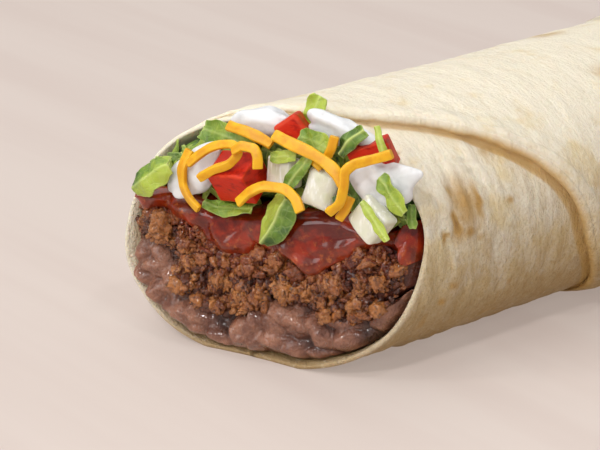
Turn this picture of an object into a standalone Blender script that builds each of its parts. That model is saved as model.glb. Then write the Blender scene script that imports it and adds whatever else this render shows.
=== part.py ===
"""A burrito lying down, with its front end open on the fillings and its far end tucked shut.

Frame: +Y runs along the burrito from the open mouth to the closed end, +X points to the right
of the mouth and +Z points up. The origin lies under the middle of the burrito, on the surface
that it rests on. Lengths in this file are millimetres and angles are degrees; the meshes are
made in metres.

The mouth is a slanted plane: it leans back at the top and turns a little towards +X. A place on
or in front of it is written (x, z, out), where out is how far in front of the plane it stands.
Angles round the wrap start at +X and run up over the top, so 90 is the top and 270 the bottom.
"""
import math
from dataclasses import dataclass

import bmesh
import bpy
from mathutils import Matrix, Vector, noise

MM = 0.001
GAP = 0.3                   # clearance that touching pieces keep
LAYER_GAP = 0.4             # clearance between two filling layers

# The wrap.
LENGTH = 136.0              # from the middle of the mouth to the far end
MOUTH_WIDTH = 68.0
MOUTH_HEIGHT = 52.4         # before the underside settles flat
SETTLED = 0.9               # how much the underside is flattened
SQUARENESS = 2.28           # exponent of the section: 2 is an ellipse, more is boxier
NARROWING = 0.045           # part of the width lost over TAPER_RUN
RISING = 0.027              # part of the height gained over TAPER_RUN
TAPER_RUN = 116.0
LEAN = 0.23                 # the mouth's top lies this much further back per unit of height
TURN = 0.38                 # the mouth's right side lies this much further back per unit of width
WALL = 1.8                  # thickness of the tortilla
RIM_WALL = 1.1              # thickness at the mouth's edge
CAP_LENGTH = 21.0           # rounding of the tucked end
TUCK_HEIGHT = 0.44          # height of its tip, as part of the mouth's height
TUCK_FOLD = 1.8             # how far each fold of the tucked end stands up
TUCK_LIP = 0.9              # how far the wrap's end stands out round the tuck
FILLING_END = 110.0         # where the wrap's inside stops, measured like LENGTH
LAYER_END_GAP = 0.5         # how far the filling layers stop short of it
MIDDLE_STATION = 38.0       # where the inside and the layers have a ring between their ends
RIM_DEPTH = 2.5             # distance behind the mouth's edge where the wall has its full thickness
RIM_WAVES = ((0.5, 3, 0.7), (0.3, 7, 0.0))      # height, waves round the edge, phase
COLUMNS = 56                # facets round the wrap
ACROSS = 24                 # facets across each filling layer
CORNER_ANGLE = 24.0         # angle of wall beside a layer that the wrap bounds above or below

# Rows of the wrap's outside, from the mouth's edge back.
RIM_ROWS = ((0.0, -0.3), (0.7, 0.0))            # distance back, height over the section
ROWS_TO_FLAP = (0.45, 0.8)                      # parts of the way to the flap's edge
FLAP_STEP = 0.05                                # where the surface under the flap ends, before its edge
ROWS_ON_FLAP = (0.25, 1.2, 3.2, 6.5, 13.0)      # distances behind the flap's edge
ROWS_TO_SHOULDER = (0.35, 0.7, 1.0)             # parts of the way from there to the tucked end
ROWS_OF_TUCK = (0.1, 0.24, 0.36, 0.5, 0.64, 0.77, 0.88, 0.96)

# Folds of the tucked end: where each starts, and how far that shifts along its edge.
TUCK_UPPER = (31.0, -0.35)
TUCK_LOWER = (17.0, 0.5)
TUCK_SIDE = (19.0, -0.25)
TUCK_EDGE = 1.6             # width over which a fold rises
TUCK_LIP_PLACE = 0.3        # where the lip ends, as part of the way to the tip

# The outer flap's edge: (angle round the wrap, distance back from the mouth's edge).
FLAP_LINE = ((-90, 78), (-45, 65), (0, 46), (30, 33.5), (45, 26), (60, 17.5), (75, 8.2), (90, 4.4),
             (110, 3.0), (180, 3.0), (235, 30), (270, 78))
# The flap's thickness at its rolled edge: (angle round the wrap, thickness).
FLAP_ROLL = ((-90, 0), (-62, 0.6), (-30, 3.2), (25, 4.2), (60, 3.4), (85, 2.5), (108, 1.4),
             (135, 0.4), (155, 0), (270, 0))
# The flap's profile back from its edge: (distance, part of the roll's thickness).
FLAP_PROFILE = ((0.0, 0.0), (0.25, 0.72), (1.2, 1.0), (3.2, 1.08), (6.5, 0.85), (13.0, 0.55),
                (30.0, 0.45))

# Where the layers meet, across the mouth: (x, z) from wall to wall.
BEANS_TOP = ((-34, 22.5), (-25, 23.5), (-20, 19.5), (-16, 13.6), (-9, 11.0), (-3, 11.4),
             (4, 14.8), (10, 16.2), (16, 13.9), (21, 13.6), (27, 17.2), (34, 23.6))
BEEF_TOP = ((-34, 29.8), (-22, 28.4), (-16, 26.6), (-11, 23.0), (-5, 22.2), (1, 24.8),
            (5, 25.3), (12, 22.6), (19, 26.4), (26, 30.2), (30, 28.6), (34, 25.8))
SAUCE_TOP = ((-34, 32.8), (-22, 33.4), (-13, 31.7), (-3, 33.4), (6, 34.2), (15, 35.6),
             (22, 34.0), (26, 32.8), (30, 35.4), (34, 36.6))

CHEESE_WIDTH = 2.6
CHEESE_THICKNESS = 1.4
CHEESE_STEPS = 3            # facets between two points of a shred's route
LEAF_THICKNESS = 0.7
LEAF_ACROSS = 6             # facets along a leaf
DICE_EDGE = 0.55            # bevel of a cut cube


@dataclass(frozen=True)
class Finish:
    """Colour, roughness and metallic value of one material."""

    name: str
    colour: tuple
    roughness: float
    metallic: float = 0.0


TORTILLA = Finish("tortilla", (0.80, 0.66, 0.43), 0.75)
BEANS = Finish("beans", (0.26, 0.12, 0.085), 0.42)
BEEF = Finish("beef", (0.25, 0.085, 0.03), 0.5)
SAUCE = Finish("sauce", (0.24, 0.025, 0.01), 0.18)
CREAM = Finish("cream", (0.86, 0.86, 0.87), 0.35)
CHEESE = Finish("cheese", (0.87, 0.42, 0.035), 0.45)
TOMATO = Finish("tomato", (0.46, 0.03, 0.012), 0.2)
ONION = Finish("onion", (0.74, 0.73, 0.58), 0.3)
LETTUCE = Finish("lettuce", (0.22, 0.42, 0.06), 0.4)


# --- Curves, the section and the mouth plane -------------------------------------------------

def curve_slope(points, i):
    """Slope at point i that lets the curve pass its neighbours without overshooting them."""
    rises = [(points[k + 1][1] - points[k][1]) / (points[k + 1][0] - points[k][0])
             for k in (i - 1, i) if 0 <= k < len(points) - 1]
    if len(rises) == 1:
        return rises[0]
    before, after = rises
    return 0.0 if before * after <= 0 else 2 * before * after / (before + after)


def smooth_curve(points, x):
    """Read a smooth curve through points at x, flat beyond its ends."""
    if x <= points[0][0]:
        return points[0][1]
    if x >= points[-1][0]:
        return points[-1][1]
    k = max(i for i in range(len(points) - 1) if points[i][0] <= x)
    (x0, y0), (x1, y1) = points[k], points[k + 1]
    run = x1 - x0
    t = (x - x0) / run
    return ((2 * t**3 - 3 * t**2 + 1) * y0 + (t**3 - 2 * t**2 + t) * run * curve_slope(points, k)
            + (3 * t**2 - 2 * t**3) * y1 + (t**3 - t**2) * run * curve_slope(points, k + 1))


def signed_power(value, power):
    """Raise a number to a power and keep its sign."""
    return math.copysign(abs(value) ** power, value)


def half_sizes(y):
    """Half width and half height of the wrap's outer section at y."""
    run = min(max(y / TAPER_RUN, 0.0), 1.0)
    return MOUTH_WIDTH / 2 * (1 - NARROWING * run), MOUTH_HEIGHT / 2 * (1 + RISING * run)


def section_point(y, angle, grow=0.0):
    """Point (x, z) of the section at y, moved outwards by grow."""
    a, b = half_sizes(y)
    turn = math.radians(angle)
    ux = signed_power(math.cos(turn), 2 / SQUARENESS)
    uz = signed_power(math.sin(turn), 2 / SQUARENESS)
    nx = signed_power(ux, SQUARENESS - 1) / a
    nz = signed_power(uz, SQUARENESS - 1) / b
    length = math.hypot(nx, nz)
    x = a * ux + grow * nx / length
    z = b * (1 + uz) + grow * nz / length
    floor = SETTLED + max(-grow, 0.0)
    return x, max(z, floor) - SETTLED


def mouth_y(x, z):
    """Where the mouth's plane passes (x, z)."""
    return LEAN * (z - MOUTH_HEIGHT / 2) + TURN * x


def mouth_point(x, z, out):
    """Point that stands out in front of the mouth's plane."""
    return Vector((x, mouth_y(x, z) - out, z))


def mouth_axes():
    """Rotation whose axes run right along the mouth, into it, and up along it."""
    outward = Vector((TURN, -1.0, LEAN)).normalized()
    right = Vector((1.0, TURN, 0.0)).normalized()
    up = outward.cross(right)
    return Matrix((right, -outward, up)).transposed()


# --- Mesh helpers -----------------------------------------------------------------------------

def material(finish):
    """Return the Principled material of a finish, made once."""
    made = bpy.data.materials.get(finish.name)
    if made:
        return made
    made = bpy.data.materials.new(finish.name)
    made.use_nodes = True
    shader = made.node_tree.nodes["Principled BSDF"]
    shader.inputs["Base Color"].default_value = (*finish.colour, 1.0)
    shader.inputs["Roughness"].default_value = finish.roughness
    shader.inputs["Metallic"].default_value = finish.metallic
    return made


def add_object(name, verts, faces, finish, sharp=50.0):
    """Add a closed mesh, given in millimetres, as an object with its faces pointing out."""
    mesh = bpy.data.meshes.new(name)
    mesh.from_pydata([Vector(v) * MM for v in verts], [], faces)
    bm = bmesh.new()
    bm.from_mesh(mesh)
    bmesh.ops.recalc_face_normals(bm, faces=bm.faces)
    bm.to_mesh(mesh)
    bm.free()
    mesh.shade_smooth()
    mesh.set_sharp_from_angle(angle=math.radians(sharp))
    mesh.materials.append(material(finish))
    obj = bpy.data.objects.new(name, mesh)
    bpy.context.scene.collection.objects.link(obj)
    return obj


def bridge(first, second):
    """Quads between two closed rings of vertex numbers."""
    count = len(first)
    return [(first[j], first[(j + 1) % count], second[(j + 1) % count], second[j])
            for j in range(count)]


def tube_faces(rings):
    """Quads along a run of closed rings."""
    return [face for one, two in zip(rings, rings[1:]) for face in bridge(one, two)]


# --- The tortilla -----------------------------------------------------------------------------

def flap_height(angle, back):
    """How far the outer flap stands proud, at a distance back from its edge."""
    if back <= 0:
        return 0.0
    roll = smooth_curve(FLAP_ROLL, angle)
    return max(roll, 0.0) * smooth_curve(FLAP_PROFILE, back)


def rim_wave(angle):
    """Unevenness of the mouth's edge along Y."""
    turn = math.radians(angle)
    return sum(height * math.sin(waves * turn + phase) for height, waves, phase in RIM_WAVES)


def wrap_column(angle):
    """Outer points of one column, from the mouth's edge to the start of the tucked end."""
    x, z = section_point(0, angle)
    start = mouth_y(x, z) + rim_wave(angle)
    edge = smooth_curve(FLAP_LINE, angle)
    shoulder = LENGTH - CAP_LENGTH
    rows = list(RIM_ROWS)
    rows += [(edge * part, 0.0) for part in ROWS_TO_FLAP]
    rows += [(edge - FLAP_STEP, 0.0)]
    rows += [(edge + back, flap_height(angle, back)) for back in ROWS_ON_FLAP]
    last = start + edge + ROWS_ON_FLAP[-1]
    points = []
    for run, proud in rows:
        y = start + run
        x, z = section_point(y, angle, proud)
        points.append(Vector((x, y, z)))
    for part in ROWS_TO_SHOULDER:
        y = last + (shoulder - last) * part
        x, z = section_point(y, angle, flap_height(angle, y - start - edge))
        points.append(Vector((x, y, z)))
    return points


def soft_step(distance, width):
    """0 well before a line and 1 well past it, changing over about width."""
    return 1 / (1 + math.exp(-4 * distance / width))


def tuck_relief(x, z):
    """Height of the folds that cross the tucked end: one flap down, and one up over it."""
    upper = soft_step(z - (TUCK_UPPER[0] + TUCK_UPPER[1] * x), TUCK_EDGE)
    lower = soft_step((TUCK_LOWER[0] + TUCK_LOWER[1] * x) - z, TUCK_EDGE)
    side = soft_step(x - (TUCK_SIDE[0] + TUCK_SIDE[1] * z), TUCK_EDGE)
    return TUCK_FOLD * (max(upper, lower) + 0.6 * side)


def tuck_ring(shoulder_ring, part):
    """One ring of the tucked end, part of the way from its shoulder to its tip."""
    swing = math.radians(90 * part)
    shrink = math.cos(swing) ** 0.5
    lip = TUCK_LIP * (1 - soft_step(part - TUCK_LIP_PLACE, 0.1))
    centre = Vector((0, 0, MOUTH_HEIGHT * TUCK_HEIGHT))
    ring = []
    for point in shoulder_ring:
        spoke = Vector((point.x, 0, point.z)) - centre
        spot = centre + spoke * shrink
        rise = tuck_relief(spot.x, spot.z) * math.sin(swing) + lip
        spot += spoke.normalized() * rise * math.cos(swing)
        spot.z = max(spot.z, 0.0)
        spot.y = point.y + CAP_LENGTH * math.sin(swing) + rise * math.sin(swing)
        ring.append(spot)
    return ring


def build_tortilla():
    """Make the tortilla: one closed shell, open at the mouth, with its flap and tucked end."""
    angles = [-90 + 360 * (j + 0.5) / COLUMNS for j in range(COLUMNS)]
    columns = [wrap_column(angle) for angle in angles]
    outer = [[column[row] for column in columns] for row in range(len(columns[0]))]
    shoulder = outer[-1]
    outer += [tuck_ring(shoulder, part) for part in ROWS_OF_TUCK]
    tip = Vector((0, LENGTH + 0.5, MOUTH_HEIGHT * TUCK_HEIGHT))

    inner = []
    for run, wall in ((0.0, RIM_WALL), (RIM_DEPTH, WALL)):
        ring = []
        for angle in angles:
            x, z = section_point(0, angle)
            y = mouth_y(x, z) + rim_wave(angle) + run
            x, z = section_point(y, angle, -wall)
            ring.append(Vector((x, y, z)))
        inner.append(ring)
    for y in (MIDDLE_STATION, FILLING_END):
        ring = []
        for angle in angles:
            x, z = section_point(y, angle, -WALL)
            ring.append(Vector((x, y, z)))
        inner.append(ring)
    floor = Vector((0, FILLING_END, MOUTH_HEIGHT / 2))

    verts, rings = [], []
    for ring in outer[::-1] + inner:
        rings.append(list(range(len(verts), len(verts) + COLUMNS)))
        verts += ring
    faces = tube_faces(rings)
    for centre, ring in ((tip, rings[0]), (floor, rings[-1])):
        verts.append(centre)
        faces += [(len(verts) - 1, ring[j], ring[(j + 1) % COLUMNS]) for j in range(COLUMNS)]
    return add_object("tortilla", verts, faces, TORTILLA)


# --- The layered fillings ---------------------------------------------------------------------

def wall_point(angle, y=0.0):
    """Point (x, z) just inside the tortilla."""
    return section_point(y, angle, -WALL - GAP)


def meeting_angle(curve, offset, left):
    """Angle at which a curve across the mouth meets the tortilla."""
    low, high = (265.0, 95.0) if left else (-85.0, 85.0)
    for _ in range(40):
        middle = (low + high) / 2
        x, z = wall_point(middle)
        if z < smooth_curve(curve, x) + offset:
            low = middle
        else:
            high = middle
    return (low + high) / 2


def curve_row(curve, offset, count):
    """Points along a curve across the mouth, shifted by offset at right angles to it."""
    left = wall_point(meeting_angle(curve, offset, True))
    right = wall_point(meeting_angle(curve, offset, False))
    row = [left]
    for i in range(1, count):
        x = left[0] + (right[0] - left[0]) * i / count
        rise = (smooth_curve(curve, x + 0.5) - smooth_curve(curve, x - 0.5))
        length = math.hypot(1, rise)
        row.append((x - offset * rise / length, smooth_curve(curve, x) + offset / length))
    return row + [right]


def wall_row(start, end, count):
    """Points along the tortilla's inside between two angles."""
    return [wall_point(start + (end - start) * i / count) for i in range(count + 1)]


def patch(bottom, top, left, right):
    """Grid of points that fills the space between four boundary rows."""
    nu, nv = len(bottom) - 1, len(left) - 1
    grid = []
    for j in range(nv + 1):
        v = j / nv
        row = []
        for i in range(nu + 1):
            u = i / nu
            row.append(tuple(
                (1 - v) * bottom[i][k] + v * top[i][k] + (1 - u) * left[j][k] + u * right[j][k]
                - (1 - u) * (1 - v) * bottom[0][k] - u * (1 - v) * bottom[-1][k]
                - (1 - u) * v * top[0][k] - u * v * top[-1][k] for k in (0, 1)))
        grid.append(row)
    return grid


def layer_grid(lower, upper, across, high):
    """Grid over one layer's section. A missing curve means that the tortilla bounds the layer."""
    if lower:
        low_left = meeting_angle(lower, LAYER_GAP / 2, True)
        low_right = meeting_angle(lower, LAYER_GAP / 2, False)
        bottom = curve_row(lower, LAYER_GAP / 2, across)
    if upper:
        high_left = meeting_angle(upper, -LAYER_GAP / 2, True)
        high_right = meeting_angle(upper, -LAYER_GAP / 2, False)
        top = curve_row(upper, -LAYER_GAP / 2, across)
    if not lower:
        low_left, low_right = high_left + CORNER_ANGLE, high_right - CORNER_ANGLE
        bottom = wall_row(low_left, 360 + low_right, across)
    if not upper:
        high_left, high_right = low_left - CORNER_ANGLE, low_right + CORNER_ANGLE
        top = wall_row(high_left, high_right, across)
    left = wall_row(low_left, high_left, high)
    right = wall_row(low_right, high_right, high)
    return patch(bottom, top, left, right)


def layer_back(x, z, y):
    """Move a point of the mouth's section to the section at y, which is a little narrower."""
    a0, b0 = half_sizes(0.0)
    a1, b1 = half_sizes(y)
    inset = WALL + GAP
    return Vector((x * (a1 - inset) / (a0 - inset), y, inset + (z - inset) * (b1 - inset) / (b0 - inset)))


def build_layer(name, finish, lower, upper, high, front, round_over=1.1):
    """Make one filling layer, which runs from its uneven front to the end of the filling."""
    grid = layer_grid(lower, upper, ACROSS, high)
    rows, cols = len(grid), len(grid[0])
    verts, index = [], {}

    def is_edge(j, i):
        return j in (0, rows - 1) or i in (0, cols - 1)

    def put(key, point):
        index[key] = len(verts)
        verts.append(point)

    for j in range(rows):
        for i in range(cols):
            x, z = grid[j][i]
            out = front(x, z) - (round_over if is_edge(j, i) else 0.0)
            put(("front", j, i), layer_back(x, z, mouth_y(x, z) - out))
            put(("back", j, i), layer_back(x, z, FILLING_END - LAYER_END_GAP))
            if is_edge(j, i):
                put(("middle", j, i), layer_back(x, z, MIDDLE_STATION))
    faces = []
    for side in ("front", "back"):
        faces += [tuple(index[side, j + dj, i + di] for dj, di in ((0, 0), (0, 1), (1, 1), (1, 0)))
                  for j in range(rows - 1) for i in range(cols - 1)]
    loop = ([(0, i) for i in range(cols)] + [(j, cols - 1) for j in range(1, rows)]
            + [(rows - 1, i) for i in range(cols - 2, -1, -1)] + [(j, 0) for j in range(rows - 2, 0, -1)])
    for side_a, side_b in (("front", "middle"), ("middle", "back")):
        faces += bridge([index[side_a, j, i] for j, i in loop], [index[side_b, j, i] for j, i in loop])
    return add_object(name, verts, faces, finish)


def lumps(x, z, size, depth, seed):
    """Rounded unevenness of a filling's front."""
    return depth * noise.noise(Vector((x / size + seed, z / size - seed, seed * 0.37)))


def crown(x, z):
    """1 in the middle of the mouth, falling to 0 at its edge."""
    a, b = half_sizes(0.0)
    return max(0.0, 1 - (abs(x) / a) ** 3 - (abs(z - b) / b) ** 3)


def beans_front(x, z):
    """Front of the mashed beans, which bulge over the lip low in the middle."""
    return 0.6 + 3.4 * crown(x, z + 4) + lumps(x, z, 6.0, 1.8, 3.0)


def beef_front(x, z):
    """Front of the beef crumbs, a little behind the sauce above them."""
    return 1.6 + 1.6 * crown(x, z) + lumps(x, z, 3.4, 2.2, 11.0)


def sauce_front(x, z):
    """Front of the sauce, which hangs forward in lobes."""
    return 2.4 + 2.6 * crown(x, z) + 0.7 * math.sin(x / 4.3 + 0.6) + lumps(x, z, 7.0, 1.2, 23.0)


def greens_front(x, z):
    """Front of the shredded lettuce that the toppings lie on."""
    return 0.2 + 0.9 * crown(x, z - 6) + lumps(x, z, 4.0, 0.5, 31.0)


def build_layers():
    """Make the four layers from the bottom up."""
    build_layer("beans", BEANS, None, BEANS_TOP, 5, beans_front)
    build_layer("beef", BEEF, BEANS_TOP, BEEF_TOP, 4, beef_front, round_over=0.6)
    build_layer("sauce", SAUCE, BEEF_TOP, SAUCE_TOP, 4, sauce_front)
    build_layer("greens", LETTUCE, SAUCE_TOP, None, 5, greens_front, round_over=0.5)


# --- The toppings -----------------------------------------------------------------------------

def placed(points, place, turn):
    """Turn points of a piece (right, in, up) and put them at (x, z, out) at the mouth."""
    roll, swing, lean = turn
    spin = (Matrix.Rotation(math.radians(-lean), 3, "Y") @ Matrix.Rotation(math.radians(swing), 3, "Z")
            @ Matrix.Rotation(math.radians(roll), 3, "X"))
    matrix = mouth_axes() @ spin
    centre = mouth_point(*place)
    return [centre + matrix @ Vector(p) for p in points]


@dataclass(frozen=True)
class Dice:
    """A cut cube: size right, in and up; place (x, z, out); turn (roll, swing, lean)."""

    name: str
    finish: Finish
    size: tuple
    place: tuple
    turn: tuple
    bow: float = 0.0        # how far its layers bend, for onion

    def mesh(self, extra=0.0):
        """Vertices and faces, grown by extra on each side."""
        half = [s / 2 + extra for s in self.size]
        bm = bmesh.new()
        bmesh.ops.create_cube(bm, size=2.0)
        if self.bow:
            along = [e for e in bm.edges if abs(e.verts[0].co.x - e.verts[1].co.x) > 1]
            bmesh.ops.subdivide_edges(bm, edges=along, cuts=2, use_grid_fill=True)
        for vert in bm.verts:
            skew = 1 + 0.06 * noise.noise(vert.co * 1.7 + Vector(self.place))
            vert.co = Vector((vert.co.x * half[0] * skew, vert.co.y * half[1], vert.co.z * half[2] * skew))
            vert.co.y += self.bow * (vert.co.x / half[0]) ** 2
        bmesh.ops.bevel(bm, geom=list(bm.edges), offset=DICE_EDGE, segments=1, affect="EDGES",
                        clamp_overlap=True)
        bmesh.ops.triangulate(bm, faces=bm.faces)
        bmesh.ops.dissolve_limit(bm, angle_limit=0.02, verts=bm.verts, edges=bm.edges)
        verts = placed([v.co.copy() for v in bm.verts], self.place, self.turn)
        faces = [tuple(v.index for v in f.verts) for f in bm.faces]
        bm.free()
        return verts, faces


@dataclass(frozen=True)
class Shred:
    """A cheese shred: a flat strip swept through route points (x, z, out)."""

    name: str
    route: tuple
    width: float = CHEESE_WIDTH
    finish: Finish = CHEESE

    def mesh(self, extra=0.0):
        """Vertices and faces, grown by extra on each side."""
        stations = CHEESE_STEPS * (len(self.route) - 1)
        knots = [(k, point) for k, point in enumerate(self.route)]
        line = []
        for s in range(stations + 1):
            t = s * (len(self.route) - 1) / stations
            place = [smooth_curve([(k, p[axis]) for k, p in knots], t) for axis in range(3)]
            line.append(mouth_point(*place))
        face_out = mouth_axes() @ Vector((0, -1, 0))
        verts, rings = [], []
        for s, point in enumerate(line):
            ahead = (line[min(s + 1, stations)] - line[max(s - 1, 0)]).normalized()
            side = ahead.cross(face_out).normalized()
            wide = side * (self.width / 2 + extra)
            thin = side.cross(ahead) * (CHEESE_THICKNESS / 2 + extra)
            push = ahead * extra * (1 if s == stations else -1 if s == 0 else 0)
            rings.append(list(range(len(verts), len(verts) + 4)))
            verts += [point + push + wide + thin, point + push - wide + thin,
                      point + push - wide - thin, point + push + wide - thin]
        faces = tube_faces(rings) + [tuple(rings[0]), tuple(rings[-1])]
        return verts, faces


@dataclass(frozen=True)
class Leaf:
    """A torn piece of lettuce: a thin sheet, bent along and across, with ruffled ends."""

    name: str
    length: float
    width: float
    place: tuple
    turn: tuple
    bend: float = 0.0       # how far its tips lie behind its middle
    cup: float = 0.0        # how far its sides lie behind its middle
    ruffle: float = 0.4
    finish: Finish = LETTUCE

    def mesh(self, extra=0.0):
        """Vertices and faces, grown by extra on each side."""
        nu = LEAF_ACROSS
        nv = 3 if self.width > 5 else 2
        thick = LEAF_THICKNESS / 2 + extra
        points = []
        for side in (-1, 1):
            for j in range(nv + 1):
                for i in range(nu + 1):
                    u, v = 2 * i / nu - 1, 2 * j / nv - 1
                    narrow = 1 - 0.35 * abs(u) ** 2.5
                    x = u * (self.length / 2 + extra)
                    z = v * (self.width / 2 + extra) * narrow
                    z += 0.08 * self.width * math.sin(2.2 * u + self.length)
                    y = self.bend * u * u + self.cup * v * v
                    y += self.ruffle * math.sin(5.5 * u + 2.0 * v + self.width) * (0.4 + 0.6 * v * v)
                    points.append((x, y + side * thick, z))
        layer = (nu + 1) * (nv + 1)

        def at(side, j, i):
            return side * layer + j * (nu + 1) + i

        faces = [tuple(at(side, j + dj, i + di) for dj, di in ((0, 0), (0, 1), (1, 1), (1, 0)))
                 for side in (0, 1) for j in range(nv) for i in range(nu)]
        loop = ([(0, i) for i in range(nu + 1)] + [(j, nu) for j in range(1, nv + 1)]
                + [(nv, i) for i in range(nu - 1, -1, -1)] + [(j, 0) for j in range(nv - 1, 0, -1)])
        faces += bridge([at(0, j, i) for j, i in loop], [at(1, j, i) for j, i in loop])
        return placed(points, self.place, self.turn), faces


@dataclass(frozen=True)
class Dollop:
    """A spoonful of soured cream: a soft blob with an optional drawn-up peak."""

    name: str
    size: tuple
    place: tuple
    lean: float = 0.0
    peak: tuple = ()        # (right, up) of the peak, in halves of the size
    finish: Finish = CREAM

    def mesh(self, extra=0.0):
        """Vertices and faces, grown by extra on each side."""
        bm = bmesh.new()
        bmesh.ops.create_icosphere(bm, subdivisions=2, radius=1.0)
        points = []
        for vert in bm.verts:
            p = vert.co.copy()
            swell = 1 + 0.16 * noise.noise(p * 1.6 + Vector(self.size))
            p *= swell
            if self.peak:
                toward = Vector((self.peak[0], -0.3, self.peak[1])).normalized()
                p += toward * 0.45 * max(0.0, vert.co.dot(toward)) ** 9
            if p.y > 0:
                p.y *= 0.6
            points.append(tuple(p[k] * (self.size[k] / 2 + extra) for k in range(3)))
        faces = [tuple(v.index for v in f.verts) for f in bm.faces]
        bm.free()
        return placed(points, self.place, (0, 0, self.lean)), faces


DOLLOPS = (
    Dollop("cream_1", (8.4, 4.6, 16.0), (-14.8, 40.0, 6.3), lean=-50),
    Dollop("cream_2", (14.0, 6.2, 6.6), (-2.6, 51.6, 4.4), lean=10),
    Dollop("cream_3", (16.0, 5.4, 5.6), (15.4, 52.9, 4.8), lean=-8),
    Dollop("cream_4", (13.6, 7.0, 10.4), (26.4, 43.8, 5.2), lean=-25, peak=(0.7, 0.75)),
)

TOMATO_DICE = (
    Dice("tomato_1", TOMATO, (9.6, 7.8, 8.0), (-3.7, 40.4, 7.4), (42, -6, 6)),
    Dice("tomato_2", TOMATO, (6.0, 5.0, 6.0), (5.2, 51.4, 5.5), (12, 8, 42)),
    Dice("tomato_3", TOMATO, (9.0, 4.0, 6.5), (22.4, 48.6, 4.3), (24, 8, 26)),
)

ONION_DICE = (
    Dice("onion_1", ONION, (7.0, 4.2, 6.2), (4.8, 42.9, 6.2), (8, -14, -4), bow=0.5),
    Dice("onion_2", ONION, (6.6, 4.6, 8.0), (14.2, 41.0, 6.8), (-6, 10, -12), bow=0.6),
    Dice("onion_3", ONION, (8.0, 4.0, 7.6), (26.9, 37.2, 8.0), (10, -8, -38), bow=0.7),
)

SHREDS = (
    Shred("cheese_1", ((-9.6, 32.9, 9.8), (-12.4, 35.0, 9.8), (-14.3, 37.8, 9.8),
                       (-14.8, 41.0, 10.0), (-14.2, 44.7, 9.4))),
    Shred("cheese_2", ((-12.0, 42.6, 12.0), (-9.4, 45.4, 12.0), (-6.2, 47.6, 12.0), (-2.8, 48.4, 12.2),
                       (-0.8, 46.9, 12.6), (-2.0, 44.6, 13.0), (-4.8, 43.0, 13.6), (-7.4, 40.8, 14.0)),
          width=2.2),
    Shred("cheese_3", ((-7.4, 51.0, 8.6), (-3.7, 50.9, 9.4), (-0.2, 50.3, 9.6), (3.6, 49.0, 9.4))),
    Shred("cheese_4", ((-0.4, 47.8, 14.6), (1.7, 49.3, 14.6), (3.9, 49.2, 14.6), (5.2, 47.8, 14.6),
                       (5.8, 45.2, 14.6)), width=2.4),
    Shred("cheese_5", ((5.4, 51.6, 11.4), (10.1, 50.7, 12.2), (14.7, 49.7, 12.4), (18.5, 48.1, 12.2),
                       (20.8, 46.4, 12.0), (22.4, 44.2, 11.6)), width=2.9),
    Shred("cheese_6", ((2.4, 37.4, 14.2), (4.8, 40.2, 14.2), (7.6, 41.7, 13.6), (10.6, 41.6, 12.8),
                       (13.5, 40.2, 12.8), (15.5, 37.7, 13.0))),
    Shred("cheese_7", ((31.4, 52.2, 11.6), (29.2, 51.1, 11.8), (26.9, 50.1, 12.2), (24.9, 49.1, 13.2),
                       (24.1, 47.4, 14.0), (24.4, 44.8, 14.0), (23.6, 41.2, 13.2), (21.0, 38.4, 12.4)),
          width=2.3),
    Shred("cheese_8", ((18.3, 53.4, 10.9), (17.9, 51.3, 10.6), (17.0, 49.0, 10.2)), width=2.2),
    Shred("cheese_9", ((23.4, 41.6, 10.0), (23.0, 39.2, 10.4), (21.8, 36.8, 10.2)), width=2.2),
)

LEAVES = (
    Leaf("lettuce_1", 12.0, 6.5, (-22.4, 37.8, 10.4), (-14, -8, 32), bend=1.2, cup=0.9),
    Leaf("lettuce_2", 14.0, 6.0, (-10.8, 46.2, 3.6), (-10, 0, -14), bend=0.4, cup=-0.4, ruffle=0.5),
    Leaf("lettuce_3", 6.0, 3.0, (6.7, 47.0, 9.5), (-14, 0, 6), bend=0.4, ruffle=0.2),
    Leaf("lettuce_4", 6.5, 5.0, (5.8, 54.8, 1.7), (0, 0, 70), bend=0.2, ruffle=0.3),
    Leaf("lettuce_5", 8.6, 4.8, (12.9, 50.6, 9.0), (-6, 0, -8), bend=0.3, ruffle=0.4),
    Leaf("lettuce_6", 7.8, 3.6, (20.6, 52.6, 9.4), (-8, 0, 48), bend=0.2, cup=0.3, ruffle=0.2),
    Leaf("lettuce_7", 7.5, 1.8, (26.4, 52.8, 8.4), (0, 0, -68), ruffle=0.15),
    Leaf("lettuce_8", 9.0, 3.0, (11.0, 44.2, 10.2), (10, 0, 62), bend=0.3, ruffle=0.3),
    Leaf("lettuce_9", 11.5, 8.0, (7.2, 33.4, 9.6), (-10, 0, 62), bend=0.7, cup=1.0, ruffle=0.25),
    Leaf("lettuce_10", 12.0, 4.0, (-5.2, 33.2, 6.7), (-52, 0, 2), bend=-0.9, cup=0.3, ruffle=0.3),
    Leaf("lettuce_11", 9.0, 4.0, (31.8, 43.6, 10.4), (8, 0, -42), bend=0.6, ruffle=0.3),
    Leaf("lettuce_12", 9.5, 2.2, (30.8, 38.4, 12.0), (0, 0, -44), ruffle=0.15),
    Leaf("lettuce_13", 5.0, 2.2, (33.0, 38.2, 4.6), (0, 0, -80), ruffle=0.15),
    Leaf("lettuce_14", 4.5, 3.0, (20.0, 39.6, 7.6), (0, 0, 20), ruffle=0.2),
)


def add_topping(spec):
    """Add one topping as an object."""
    verts, faces = spec.mesh()
    return add_object(spec.name, verts, faces, spec.finish, sharp=35.0)


def cut_away(target, specs):
    """Cut slightly larger copies of other pieces out of target."""
    for spec in specs:
        verts, faces = spec.mesh(GAP)
        cutter = add_object(f"{target.name}_room_for_{spec.name}", verts, faces, spec.finish)
        cutter.hide_render = True
        cutter.display_type = "WIRE"
        cut = target.modifiers.new(spec.name, "BOOLEAN")
        cut.operation = "DIFFERENCE"
        cut.solver = "EXACT"
        cut.object = cutter


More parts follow.
